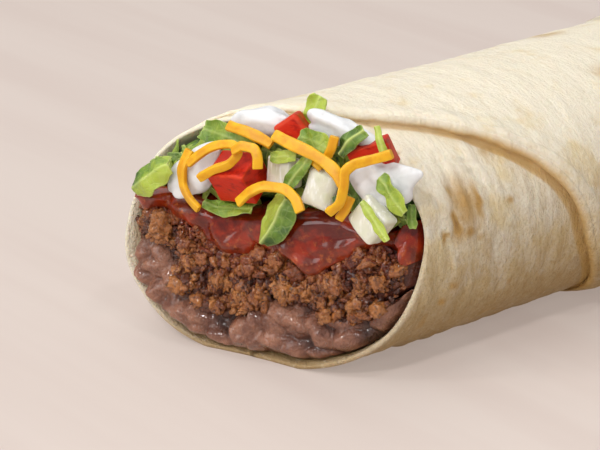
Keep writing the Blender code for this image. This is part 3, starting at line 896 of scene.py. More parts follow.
class Kitchen:
    """Places finished shapes in the CAD model's frame and reports them."""

    def __init__(self) -> None:
        """Find the mouth's middle from the CAD tortilla's box and the foremost point of its rim."""
        low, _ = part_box("tortilla")
        front = WRAP.rim_y(np.arange(0.0, 360.0, 0.5)).min()
        self.origin = np.array([low.x + WRAP.width / 2 * MM, low.y - front * MM, 0.0])

    def frame_points(self, points: Points) -> Points:
        """Places in the CAD model's frame, in metres."""
        return points * MM + self.origin

    def add(self, name: str, shape: Shape, finish: Finishes, nodes: Sequence[str],
            sharp: float = SOFT_EDGES) -> bpy.types.Object:
        """Add a piece of the burrito.

        Args:
            name: The piece's name.
            shape: Its points, faces and values.
            finish: What it is made of.
            nodes: CAD nodes that it stands for.
            sharp: Angle above which an edge stays sharp.

        Returns:
            The new object.
        """
        mesh = bpy.data.meshes.new(name)
        mesh.from_pydata(self.frame_points(shape.points).tolist(), [], shape.faces)
        bm = bmesh.new()
        bm.from_mesh(mesh)
        bmesh.ops.recalc_face_normals(bm, faces=bm.faces)
        bm.to_mesh(mesh)
        bm.free()
        mesh.shade_smooth()
        if sharp < SOFT_EDGES:
            mesh.set_sharp_from_angle(angle=math.radians(sharp))
        for key, values in shape.values.items():
            kind = "FLOAT_VECTOR" if values.ndim > 1 else "FLOAT"
            layer = mesh.attributes.new(key, kind, "POINT")
            layer.data.foreach_set("vector" if values.ndim > 1 else "value",
                                   values.astype(np.float32).ravel())
        mesh.materials.append(finish.value.material())
        piece = bpy.data.objects.new(name, mesh)
        bpy.context.scene.collection.objects.link(piece)
        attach(piece, "root")
        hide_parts(*nodes)
        LOG.info("%s: %d faces, for %s", name, len(mesh.polygons), ", ".join(nodes))
        return piece


@dataclass(frozen=True)
class ToastedSpot:
    """A browned spot: its place (x, y, z), its reach round and along the wrap, and its strength."""

    place: tuple[float, float, float]
    around: float
    along: float
    strength: float


@dataclass(frozen=True)
class Crease:
    """A crease pressed in the wrap, between two places (x, y, z)."""

    start: tuple[float, float, float]
    end: tuple[float, float, float]
    depth: float
    width: float


@dataclass
class Tortilla:
    """The rolled tortilla with its outer flap, uneven rim and tucked end."""

    columns: int = 330
    flap_line: Curve = Curve(((-90, 78), (-45, 65), (0, 46), (30, 33.5), (45, 26), (60, 17.5),
                              (75, 8.2), (90, 4.4), (110, 3.0), (180, 3.0), (235, 30), (270, 78)))
    flap_roll: Curve = Curve(((-90, 0), (-62, 0.6), (-30, 3.2), (25, 4.2), (60, 3.4), (85, 2.5),
                              (108, 1.4), (135, 0.4), (155, 0), (270, 0)))
    flap_profile: Curve = Curve(((0.0, 0.92), (1.0, 1.04), (2.4, 1.08), (4.2, 0.86), (6.5, 0.8),
                                 (13.0, 0.55), (30.0, 0.45)))
    # The flap's rolled lip, (back, proud) as parts of its thickness: under it, round it, on top.
    lip: tuple[tuple[float, float], ...] = (
        (-0.5, 0.0), (-0.2, 0.0), (0.06, 0.01), (0.2, 0.04), (0.24, 0.1), (0.14, 0.18), (0.0, 0.28),
        (-0.1, 0.4), (-0.13, 0.53), (-0.1, 0.66), (-0.02, 0.78), (0.1, 0.88), (0.24, 0.95))
    # The mouth's rounded edge: (back, proud) on its outer side, then (back, wall) on its inner side.
    edge_outside: tuple[tuple[float, float], ...] = ((0.0, -0.5), (0.12, -0.26), (0.35, -0.08), (0.7, 0.0))
    edge_inside: tuple[tuple[float, float], ...] = (
        (-0.05, 0.75), (0.08, 0.98), (0.35, WRAP.rim_wall), (2.5, WRAP.wall))
    inside_stations: tuple[float, ...] = (30.0, 60.0, WRAP.filling_end)
    least_lip: float = 0.8          # reach of the lip where the flap lies flat
    front_rows: int = 76            # rings between the mouth and the flap
    back_rows: int = 119            # rings between the flap and the tucked end
    row_spread: float = 1.35        # above 1, those rings lie closer together near the flap
    shade_fall: float = 1.1         # how far in front of the flap its shade reaches
    upper_from: float = 54.0        # angle above which the lip's shade is weaker
    tuck_height: float = 0.44
    tuck_fold: float = 1.8
    tuck_lip: float = 0.9
    tuck_turn: float = 0.62         # share of the end's quarter turn whose rings are even in angle
    tuck_turn_rings: int = 27
    tuck_sizes: tuple[float, float] = (0.74, 0.03)      # the later rings are even in size, down to the tip
    tuck_size_rings: int = 26
    wrinkled: tuple[float, float] = (22.0, 26.0)    # where the right side is wrinkled most, and how far
    rim_fade: float = 4.0           # distance from the mouth over which dents grow to full depth
    unroll_radius: float = 30.0
    unroll_squeeze: float = 0.4     # below 1, the texture is drawn out round the wrap
    end_squeeze: float = 0.6        # below 1, it is drawn out upwards on the tucked end
    flap_shade_in_toast: float = 0.22       # how much painted shade under the flap goes into the toast value
    light_reach: float = 0.9        # depth of the pale light along the mouth's edge
    light_floor: float = 5.0        # height at which that light comes in
    light_right: float = 0.55       # how much weaker it is on the right
    spots: tuple[ToastedSpot, ...] = (
        ToastedSpot((31.8, 27.0, 37.0), 7.5, 4.6, 0.62), ToastedSpot((32.8, 23.4, 33.6), 4.2, 1.5, 0.92),
        ToastedSpot((30.6, 24.6, 40.0), 2.6, 1.3, 0.7), ToastedSpot((32.8, 26.2, 31.2), 1.8, 2.6, 0.8),
        ToastedSpot((31.4, 30.4, 37.0), 4.6, 1.3, 0.74), ToastedSpot((33.2, 19.5, 31.3), 1.7, 0.8, 0.7),
        ToastedSpot((33.4, 22.5, 20.1), 1.2, 1.6, 0.55), ToastedSpot((30.5, 16.5, 11.0), 2.6, 1.2, 0.55),
        ToastedSpot((0.8, 50.5, 52.0), 1.0, 1.8, 0.7), ToastedSpot((4.6, 37.0, 51.7), 1.0, 1.6, 0.55),
        ToastedSpot((3.0, 39.5, 51.5), 0.7, 1.2, 0.5), ToastedSpot((13.4, 40.0, 50.5), 1.0, 2.0, 0.6),
        ToastedSpot((22.3, 49.5, 46.8), 1.1, 1.1, 0.85), ToastedSpot((24.5, 38.5, 43.4), 3.0, 3.2, 0.42),
        ToastedSpot((-13.6, 51.5, 50.6), 0.6, 1.6, 0.7), ToastedSpot((-6.1, 24.8, 51.5), 0.6, 1.8, 0.7),
        ToastedSpot((2.1, 30.0, 51.8), 0.6, 1.6, 0.6), ToastedSpot((32.9, 31.5, 26.0), 6.0, 2.0, 0.28),
        ToastedSpot((32.4, 66.0, 33.0), 5.0, 6.5, 0.5), ToastedSpot((-31.0, 40.0, 34.0), 6.0, 5.0, 0.55),
        ToastedSpot((-32.0, 78.0, 22.0), 5.0, 7.0, 0.5), ToastedSpot((-12.0, 92.0, 52.0), 6.0, 5.0, 0.45),
        ToastedSpot((16.0, 84.0, 50.0), 4.0, 5.0, 0.5), ToastedSpot((12.0, 136.0, 30.0), 5.0, 5.0, 0.5),
        ToastedSpot((-14.0, 135.0, 18.0), 4.0, 4.0, 0.45))
    creases: tuple[Crease, ...] = (
        Crease((27.4, 31.0, 42.6), (33.2, 43.0, 29.5), 0.45, 0.8),
        Crease((24.9, 27.5, 44.9), (27.0, 33.5, 43.0), 0.35, 0.6),
        Crease((-26.0, 60.0, 43.0), (-33.0, 74.0, 26.0), 0.45, 0.9),
        Crease((20.0, 70.0, 49.0), (31.0, 84.0, 38.0), 0.4, 0.9),
        Crease((-8.0, 108.0, 52.5), (12.0, 96.0, 52.0), 0.4, 0.9))
    flecks: int = 110
    fleck_places: tuple[float, float] = (8, 134)
    fleck_angles: tuple[float, float] = (-60, 240)
    fleck_sizes: tuple[float, float] = (0.35, 1.15)
    fleck_lengths: tuple[float, float] = (0.8, 2.2)     # as a share of their size round the wrap
    fleck_strengths: tuple[float, float] = (0.25, 0.75)
    seed: int = 4

    def column_rows(self, angles: np.ndarray) -> tuple[list[Points], list[np.ndarray]]:
        """Rings of the outer side from the mouth's edge to the start of the tucked end.

        Args:
            angles: Angle of each column.

        Returns:
            The rings, and for each the strength of the painted shade under the flap.
        """
        start = WRAP.rim_y(angles)
        edge, roll = self.flap_line(angles), np.maximum(self.flap_roll(angles), 0.0)
        reach = np.maximum(roll, self.least_lip)
        still = np.zeros_like(angles)
        rows: list[tuple[np.ndarray, np.ndarray, np.ndarray]] = []
        for run, grow in self.edge_outside:
            rows.append((start + run, still + grow, still))
        first, last = start + self.edge_outside[-1][0], start + edge + self.lip[0][0] * reach
        for t in np.linspace(0, 1, self.front_rows + 2)[1:-1]:
            y = first + (last - first) * t
            # Painted shade in front of the flap, fading with distance from it.
            near = np.exp(-np.maximum(start + edge - y, 0.0) / self.shade_fall)
            rows.append((y, still, near * np.minimum(roll / 3, 0.7)))
        upper = soft_step(angles - self.upper_from, 16)
        # Painted shade on the lip, strongest underneath and weaker on its upper part.
        for back, proud in self.lip:
            shade = (1 - soft_step(proud - 0.72 + 0.22 * upper, 0.6)) * np.minimum(roll / 2.5, 1)
            shade *= 1 - 0.4 * upper
            rows.append((start + edge + back * reach, proud * roll, shade * soft_step(back + 0.5, 0.5)))
        base = start + edge + self.lip[-1][0] * reach
        for t in np.linspace(0, 1, self.back_rows + 1)[1:]:
            back = (WRAP.shoulder() - base) * t**self.row_spread
            rows.append((base + back, roll * self.flap_profile(back), still))
        rings = [WRAP.ring(y, angles, grow) for y, grow, _ in rows]
        return rings, [shade for _, _, shade in rows]

    def tuck_relief(self, x: np.ndarray, z: np.ndarray) -> np.ndarray:
        """Height of the folds that cross the tucked end.

        Args:
            x: Places across the wrap.
            z: Heights.

        Returns:
            How far the folds stand out at each place.
        """
        # Each fold stands proud past its own line: two wavy ones from the left and one at the right.
        upper = soft_step(z - (31.0 - 0.35 * x + 0.8 * np.sin(x / 6)), 0.9)
        lower = soft_step((17.0 + 0.5 * x + 0.9 * np.sin(x / 5 + 1)) - z, 0.9)
        side = soft_step(x - (19.0 - 0.25 * z), 0.9)
        return self.tuck_fold * (np.maximum(upper, lower) + 0.6 * side)

    def tuck_rings(self, shoulder: Points) -> list[Points]:
        """Rings of the tucked end, from its shoulder towards its tip.

        Args:
            shoulder: The ring that the tucked end starts from.

        Returns:
            The rings, even in angle at first and then even in size.
        """
        early = list(np.linspace(0.0, self.tuck_turn, self.tuck_turn_rings + 1)[1:])
        sizes = np.linspace(*self.tuck_sizes, self.tuck_size_rings)
        late = [math.acos(s * s) / (math.pi / 2) for s in sizes]
        centre = np.array([0.0, 0.0, WRAP.height * self.tuck_height])
        rings = []
        for part in early + [p for p in late if p > early[-1] + 0.01]:
            swing = math.radians(90 * part)
            lip = self.tuck_lip * (1 - float(soft_step(part - 0.3, 0.05)))
            spoke = shoulder * [1, 0, 1] - centre
            spot = centre + spoke * math.cos(swing) ** 0.5
            rise = self.tuck_relief(spot[:, 0], spot[:, 2]) * math.sin(swing) + lip
            spot += spoke / np.linalg.norm(spoke, axis=1)[:, None] * (rise * math.cos(swing))[:, None]
            spot[:, 2] = np.maximum(spot[:, 2], 0.0)
            spot[:, 1] = shoulder[:, 1] + (WRAP.cap_length + rise) * math.sin(swing)
            rings.append(spot)
        return rings

    def inner_rings(self, angles: np.ndarray) -> list[Points]:
        """Rings of the inner side, from the mouth's edge to the end of the fillings.

        Args:
            angles: Angle of each column.

        Returns:
            The rings.
        """
        start = WRAP.rim_y(angles)
        rings = [WRAP.ring(start + run, angles, -wall) for run, wall in self.edge_inside]
        for y in self.inside_stations:
            rings.append(WRAP.ring(np.full_like(angles, y), angles, -WRAP.wall))
        return rings

    def toast(self, points: Points) -> np.ndarray:
        """How browned each point is, from named spots and scattered flecks.

        Args:
            points: Points of the outer side.

        Returns:
            0 for plain dough to 1 for charred, at each point.
        """
        rng = np.random.default_rng(self.seed)
        warp = np.stack([grain(points, 2.6, s) for s in (1.0, 2.0)], 1)
        brown = np.zeros(len(points))
        spots = list(self.spots)
        for _ in range(self.flecks):
            y, angle = rng.uniform(*self.fleck_places), rng.uniform(*self.fleck_angles)
            x, z = WRAP.section(min(y, WRAP.shoulder()), angle)
            size = rng.uniform(*self.fleck_sizes)
            length = size * rng.uniform(*self.fleck_lengths)
            strength = rng.uniform(*self.fleck_strengths)
            spots.append(ToastedSpot((float(x), y, float(z)), size, length, strength))
        for spot in spots:
            reach = 3 * max(spot.around, spot.along)
            near = np.flatnonzero(np.abs(points - spot.place).max(1) < reach)
            if not len(near):
                continue
            gap = points[near] - spot.place
            along = gap[:, 1] + warp[near, 0] * min(spot.along * 0.9, 1.3)
            around = np.hypot(gap[:, 0], gap[:, 2]) + warp[near, 1] * min(spot.around * 0.5, 1.0)
            mark = spot.strength * np.exp(-(along / spot.along) ** 2 - (around / spot.around) ** 2)
            brown[near] = np.maximum(brown[near], mark)
        return brown

    def relief(self, points: Points, unrolled: Points) -> np.ndarray:
        """How far the surface stands out at each point: dents, wrinkles and creases.

        Args:
            points: Points of the outer side.
            unrolled: Their places on the unrolled tortilla.

        Returns:
            The height at each point.
        """
        place, reach = self.wrinkled
        side = np.exp(-((points[:, 1] - place) / reach) ** 2) * soft_step(points[:, 0] - 12, 14)
        wrinkles = grain(unrolled, (9.0, 2.0, 1.0), 5.0) * (0.14 + 0.26 * side)
        wrinkles += (np.abs(grain(unrolled, (20.0, 4.5, 1.0), 8.0)) - 0.25) * (0.3 + 0.6 * side)
        wrinkles += 0.13 * grain(unrolled, (5.0, 1.3, 1.0), 12.0) * (0.5 + side)
        height = 0.45 * grain(points, 24.0, 3.0) + wrinkles + 0.1 * grain(points, 3.2, 9.0)
        for crease in self.creases:
            start, end = np.array(crease.start), np.array(crease.end)
            line = end - start
            t = np.clip((points - start) @ line / (line @ line), 0, 1)
            gap = np.linalg.norm(points - start - t[:, None] * line, axis=1)
            ends = np.sin(math.pi * np.clip(t, 0.02, 0.98)) ** 0.5
            height -= crease.depth * ends * np.exp(-(gap / crease.width) ** 2)
            height += 0.5 * crease.depth * ends * np.exp(-((gap - 2 * crease.width) / crease.width) ** 2)
        return height

    def unroll(self, points: Points, angles: np.ndarray, end_points: int) -> Points:
        """Places on the unrolled tortilla, so that its fibres run round the wrap.

        Args:
            points: Every point: rings from the tip to the fillings' end, then the two middles.
            angles: Angle of each column.
            end_points: How many of the first points are the tucked end's.

        Returns:
            (round, along) for each point, and on the tucked end (right, up), drawn out.
        """
        unrolled = np.zeros_like(points)
        around = np.radians(angles) * self.unroll_radius
        unrolled[:-2, 0] = np.tile(around, (len(points) - 2) // self.columns)
        unrolled[:, 1] = points[:, 1]
        for part in (slice(0, end_points), slice(-2, -1)):
            unrolled[part, :2] = points[part][:, [0, 2]] * [1.0, self.end_squeeze]
        return unrolled

    def rim_light(self, points: Points) -> np.ndarray:
        """Painted light that makes the mouth's thin edge pale, most at the top left.

        Args:
            points: Points of the whole tortilla.

        Returns:
            0 to 1 at each point.
        """
        back = np.maximum(WRAP.behind_mouth(points), 0.0)
        lit = np.exp(-(back / self.light_reach) ** 2) * soft_step(points[:, 2] - self.light_floor, 10)
        return lit * (1 - self.light_right * soft_step(points[:, 0], 30))

    def build(self, kitchen: Kitchen) -> None:
        """Make the tortilla.

        Args:
            kitchen: What puts it in the scene.
        """
        angles = -90 + 360 * (np.arange(self.columns) + 0.5) / self.columns
        outer, shades = self.column_rows(angles)
        tuck = self.tuck_rings(outer[-1])
        inner = self.inner_rings(angles)
        rings = tuck[::-1] + outer[::-1] + inner
        end_points = len(tuck) * self.columns
        skin = end_points + len(outer) * self.columns
        tip = tuck[-1].mean(0) + [0.0, 0.1, 0.0]
        points = np.concatenate(rings + [tip[None], inner[-1].mean(0)[None]])
        shade = np.zeros(len(points))
        shade[end_points:skin] = np.concatenate(shades[::-1])
        faces = ring_faces(len(rings), self.columns)
        last = (len(rings) - 1) * self.columns
        for j in range(self.columns):
            k = (j + 1) % self.columns
            faces.append((len(points) - 2, j, k))
            faces.append((len(points) - 1, last + k, last + j))
        shape = Shape(points, faces)
        unrolled = self.unroll(points, angles, end_points)
        normals = shape.normals()
        inside = np.array([0.0, 60.0, WRAP.oval_middle])
        if (normals[:skin] * (points[:skin] - inside)).sum() < 0:
            normals = -normals
        lift = self.relief(points[:skin], unrolled[:skin])
        lift *= np.clip(WRAP.behind_mouth(points[:skin]) / self.rim_fade, 0, 1)
        points[:skin] += normals[:skin] * lift[:, None]
        points[:skin, 2] = np.maximum(points[:skin, 2], 0.0)
        # The shade under the flap is painted: it darkens the colour through the fold value and browns the
        # toast value a little.
        toast = self.flap_shade_in_toast * shade
        toast[:skin] = np.maximum(self.toast(points[:skin]), toast[:skin])
        # The rim value is painted light on the mouth's thin edge.
        shape.values = {"toast": toast, "fold": shade, "rim": self.rim_light(points),
                        "unrolled": unrolled * [MM * self.unroll_squeeze, MM, MM]}
        kitchen.add("tortilla_wrap", shape, Finishes.TORTILLA, ["tortilla"])


# --- Fillings ---------------------------------------------------------------------------------

HALVINGS = 40               # steps of the search for where a curve meets the tortilla
LEFT_WALL = (265.0, 95.0)   # angles that the search runs between, from the bottom to the top
RIGHT_WALL = (-85.0, 85.0)
BEANS_TOP = Curve(((-34, 22.5), (-25, 23.5), (-20, 19.5), (-16, 13.6), (-9, 11.0), (-3, 11.4),
                   (4, 14.8), (10, 16.2), (16, 13.9), (21, 13.6), (27, 17.2), (34, 23.6)))
BEEF_TOP = Curve(((-34, 29.8), (-22, 28.4), (-16, 26.6), (-11, 23.0), (-5, 22.2), (1, 24.8),
                  (5, 25.3), (12, 22.6), (19, 26.4), (26, 30.2), (30, 28.6), (34, 25.8)))
SAUCE_TOP = Curve(((-34, 32.8), (-22, 33.4), (-13, 31.7), (-3, 33.4), (6, 34.2), (15, 35.6),
                   (22, 34.0), (26, 32.8), (30, 35.4), (34, 36.6)))


@dataclass
class Layer:
    """One filling layer: the space between two curves across the mouth, run to the far end."""

    name: str
    finish: Finishes
    nodes: tuple[str, ...]
    lower: Optional[Curve]
    upper: Optional[Curve]
    front: Callable[[np.ndarray, np.ndarray], tuple[np.ndarray, np.ndarray]]
    across: int = 170
    high: int = 46
    round_over: float = 1.6     # how far the front's edges are drawn back
    rounding: float = 2.2       # width of that edge
    droop: Optional[Callable[[np.ndarray], np.ndarray]] = None  # how far its lower edge runs down
    shrink: float = 0.0         # how much smaller than its space the layer is
    corner: float = 24.0        # angle of wall beside a layer that the wrap bounds
    stations: tuple[float, ...] = (20.0, 55.0, WRAP.filling_end - 0.5)
    # What its finish reads: each value is the front's own value times the first number, plus the second.
    readings: Mapping[str, tuple[float, float]] = field(default_factory=dict)

    def wall(self, angle: Any) -> Points:
        """Points just inside the tortilla at the mouth."""
        return np.stack(WRAP.section(0.0, angle, -WRAP.wall - WRAP.gap - self.shrink), -1)

    def meeting(self, curve: Curve, offset: float, left: bool) -> float:
        """Angle at which a curve meets the tortilla, found by halving.

        Args:
            curve: The curve across the mouth.
            offset: How far above it the meeting is wanted.
            left: Whether the meeting is at the left wall.

        Returns:
            The angle in degrees.
        """
        low, high = LEFT_WALL if left else RIGHT_WALL
        for _ in range(HALVINGS):
            middle = (low + high) / 2
            x, z = self.wall(middle)
            low, high = (middle, high) if z < curve(x) + offset else (low, middle)
        return (low + high) / 2

    def curve_row(self, curve: Curve, offset: float) -> Points:
        """Points along a curve from wall to wall, shifted at right angles to it.

        Args:
            curve: The curve across the mouth.
            offset: How far the points are shifted upwards.

        Returns:
            (x, z) of each point, from the left.
        """
        ends = [self.wall(self.meeting(curve, offset, left)) for left in (True, False)]
        x = np.linspace(ends[0][0], ends[1][0], self.across + 1)
        rise = curve(x + 0.5) - curve(x - 0.5)
        length = np.hypot(1, rise)
        row = np.stack([x - offset * rise / length, curve(x) + offset / length], 1)
        row[0], row[-1] = ends
        return row

    def patch(self) -> tuple[Points, np.ndarray]:
        """Grid over the layer's section.

        Returns:
            (x, z) of the grid's points, and how far each lies from the layer's edge.
        """
        inset = WRAP.layer_gap / 2 + self.shrink
        if self.lower:
            low = [self.meeting(self.lower, inset, left) for left in (True, False)]
            bottom = self.curve_row(self.lower, inset)
        if self.upper:
            high = [self.meeting(self.upper, -inset, left) for left in (True, False)]
            top = self.curve_row(self.upper, -inset)
        if not self.lower:
            low = [high[0] + self.corner, high[1] - self.corner]
            bottom = self.wall(np.linspace(low[0], 360 + low[1], self.across + 1))
        if not self.upper:
            high = [low[0] - self.corner, low[1] + self.corner]
            top = self.wall(np.linspace(high[0], high[1], self.across + 1))
        left = self.wall(np.linspace(low[0], high[0], self.high + 1))[:, None]
        right = self.wall(np.linspace(low[1], high[1], self.high + 1))[:, None]
        u = np.linspace(0, 1, self.across + 1)[None, :, None]
        v = np.linspace(0, 1, self.high + 1)[:, None, None]
        grid = ((1 - v) * bottom + v * top + (1 - u) * left + u * right
                - (1 - u) * (1 - v) * bottom[0] - u * (1 - v) * bottom[-1]
                - (1 - u) * v * top[0] - u * v * top[-1])
        tall = np.linalg.norm(top - bottom, axis=1)[None, :]
        wide = bottom[-1, 0] - bottom[0, 0]
        edge = np.minimum(np.minimum(v[..., 0], 1 - v[..., 0]) * tall,
                          np.minimum(u[..., 0], 1 - u[..., 0]) * wide)
        return grid, edge

    def deeper(self, section: Points, y: Any) -> Points:
        """Move points of the mouth's section to the narrower section at y.

        Args:
            section: (x, z) of each point at the mouth.
            y: Where the section is wanted, one number or one for each point.

        Returns:
            (x, y, z) of each point.
        """
        (a0, b0), (a1, b1) = WRAP.half_sizes(0.0), WRAP.half_sizes(y)
        inset = WRAP.wall + WRAP.gap
        x = section[:, 0] * (a1 - inset) / (a0 - inset)
        z = inset + (section[:, 1] - inset) * (b1 - inset) / (b0 - inset)
        return np.stack([x, np.broadcast_to(y, x.shape), z], 1)

    def shape(self) -> Shape:
        """Make the layer's closed mesh.

        Returns:
            The mesh, with the values that its finish reads.
        """
        grid, edge = self.patch()
        rows, cols = grid.shape[:2]
        section, edge = grid.reshape(-1, 2), edge.reshape(-1)
        x, z = section.T
        out, level = self.front(x, z)
        drop = np.clip(1 - edge / self.rounding, 0, 1) ** 2 * self.round_over
        shown = section.copy()
        if self.droop:
            up = np.repeat(np.linspace(0, 1, rows), cols)
            from_wall = np.clip((WRAP.width / 2 - np.abs(x)) / 4, 0, 1)
            shown[:, 1] -= self.droop(x) * (1 - up) ** 2 * from_wall
        front = self.deeper(shown, WRAP.mouth_y(x, shown[:, 1]) - (out - drop - self.shrink))
        loop = edge_loop(rows, cols)
        rings = [self.deeper(section[loop], y) for y in self.stations]
        points = np.concatenate([front] + rings)
        faces = grid_faces(rows, cols)
        first = list(loop)
        start = rows * cols
        for _ in rings:
            second = list(range(start, start + len(loop)))
            faces += [(first[j], second[j], second[(j + 1) % len(loop)], first[(j + 1) % len(loop)])
                      for j in range(len(loop))]
            first, start = second, start + len(loop)
        faces.append(tuple(first))
        level = np.concatenate([level, np.zeros(len(points) - len(level))])
        values = {name: level * share + base for name, (share, base) in self.readings.items()}
        return Shape(points, faces, values)


def section_points(x: np.ndarray, z: np.ndarray) -> Points:
    """Places for random fields over the mouth."""
    return np.stack([x, np.zeros_like(x), z], 1)


MOUTH_WIDTH = (-35, 35)     # the space that the lumps of a heap are spread over
MOUTH_HEIGHT = (-2, 54)


def heap(x: np.ndarray, z: np.ndarray, seed: int, count: int, sizes: tuple[float, float],
         softness: float) -> tuple[np.ndarray, np.ndarray]:
    """Surface of a heap of soft round lumps spread over the mouth.

    Args:
        x: Places across the mouth.
        z: Heights.
        seed: Picks another heap.
        count: Number of lumps.
        sizes: Least and greatest radius of a lump.
        softness: How much neighbouring lumps run together.

    Returns:
        How far each point stands out from the heap's middle level, and its level from 0 to 1.
    """
    rng = np.random.default_rng(seed)
    total = np.full(len(x), 1e-6)
    for _ in range(count):
        size, squash = rng.uniform(*sizes), rng.uniform(0.7, 1.35)
        dx, dz = x - rng.uniform(*MOUTH_WIDTH), z - rng.uniform(*MOUTH_HEIGHT)
        tilt = rng.uniform(-0.5, 0.5)
        reach = ((dx + tilt * dz) / squash) ** 2 + (dz * squash) ** 2
        total += np.exp((size * 0.85 * (1 - reach / size**2) + rng.uniform(-0.4, 0.4)) / softness)
    height = softness * np.log(total)
    low, middle, high = np.percentile(height, (3, 50, 97))
    height = np.clip(height, low - 0.3, high + 0.5)
    return height - middle, np.clip((height - low) / (high - low), 0, 1)


def beans_front(x: np.ndarray, z: np.ndarray) -> tuple[np.ndarray, np.ndarray]:
    """Front of the mashed beans: soft lumps that bulge over the lip.

    Args:
        x: Places across the mouth.
        z: Heights.

    Returns:
        How far each point stands out, and how high it is within its lump, 0 to 1.
    """
    spots = section_points(x, z)
    lumps, rise = heap(x + 1.2 * grain(spots, 2.6, 1.0), z + 0.8 * grain(spots, 2.2, 2.0), 5, 520,
                       (1.3, 4.2), 0.3)
    out = 0.9 + 2.6 * WRAP.crown(x, z + 4) + 1.0 * lumps + 1.5 * grain(spots, 10.0, 6.0)
    return out + 0.45 * grain(spots, 1.9, 4.0) + 0.2 * grain(spots, 0.9, 5.0), rise


def beef_front(x: np.ndarray, z: np.ndarray) -> tuple[np.ndarray, np.ndarray]:
    """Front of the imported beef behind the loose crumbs.

    Args:
        x: Places across the mouth.
        z: Heights.

    Returns:
        How far each point stands out, and how high it is within its lump, 0 to 1.
    """
    spots = section_points(x, z)
    rough = grain(spots, 2.4, 15.0)
    return 0.6 + 1.4 * WRAP.crown(x, z) + 1.3 * rough, np.clip(0.5 + rough, 0, 1)


def sauce_front(x: np.ndarray, z: np.ndarray) -> tuple[np.ndarray, np.ndarray]:
    """Front of the sauce: smooth lobes over the crumbs that it covers.

    Args:
        x: Places across the mouth.
        z: Heights.

    Returns:
        How far each point stands out, and how thin the sauce is there, 0 to 1.
    """
    spots = section_points(x, z)
    lobes = 0.8 * np.sin(x / 4.9 + 0.6) + 1.5 * grain(spots, 9.0, 23.0)
    lumps, level = heap(x, z, 9, 300, (1.6, 3.6), 0.8)
    low = np.clip(1 - (z - BEEF_TOP(x)) / 6.0, 0, 1)
    out = 3.2 + 2.2 * WRAP.crown(x, z) + lobes + lumps * (0.1 + 0.65 * low)
    return out, np.clip(low * 0.75 + level * 0.5 - 0.3, 0, 1)


def sauce_droop(x: np.ndarray) -> np.ndarray:
    """How far the sauce's lower edge runs down over the beef."""
    spots = section_points(x, np.zeros_like(x))
    return 0.5 + 2.6 * np.maximum(grain(spots, 4.6, 41.0) + 0.1, 0.0)


def greens_front(x: np.ndarray, z: np.ndarray) -> tuple[np.ndarray, np.ndarray]:
    """Front of the lettuce core behind its loose shreds.

    Args:
        x: Places across the mouth.
        z: Heights.

    Returns:
        How far each point stands out, and how high it is within its lump, 0 to 1.
    """
    rough = grain(section_points(x, z), 3.0, 31.0)
    return -0.2 + 0.9 * WRAP.crown(x, z - 6) + 0.8 * rough, np.clip(0.5 + rough, 0, 1)


LAYERS = (
    Layer("mashed_beans_layer", Finishes.BEANS, ("beans",), None, BEANS_TOP, beans_front,
          across=230, high=70, round_over=2.8, rounding=3.6, readings={"rise": (1.0, 0.0)}),
    # The core's low tone darkens it: painted shade behind the loose crumbs.
    Layer("beef_core", Finishes.BEEF, ("beef",), BEANS_TOP, BEEF_TOP, beef_front,
          shrink=0.4, readings={"tone": (0.2, 0.0), "glaze": (0.0, 0.3)}),
    Layer("chilli_sauce_layer", Finishes.SAUCE, ("sauce",), BEEF_TOP, SAUCE_TOP, sauce_front,
          across=220, high=60, round_over=2.6, rounding=2.8, droop=sauce_droop,
          readings={"thin": (1.0, 0.0)}),
    # The core's low tone makes it darker than the shreds: painted shade behind them.
    Layer("lettuce_core", Finishes.LETTUCE, ("greens",), SAUCE_TOP, None, greens_front,
          across=90, high=30, shrink=0.5, readings={"tone": (0.25, 0.0), "rib": (0.0, 0.0)}))


@dataclass(frozen=True)
class Bits:
    """Loose bits of beef: how many, how big and how they lie."""

    name: str
    detail: int                     # subdivision of each bit
    count: int
    sizes: tuple[float, float]      # least and greatest radius
    rise: float                     # how far their clumps stand out


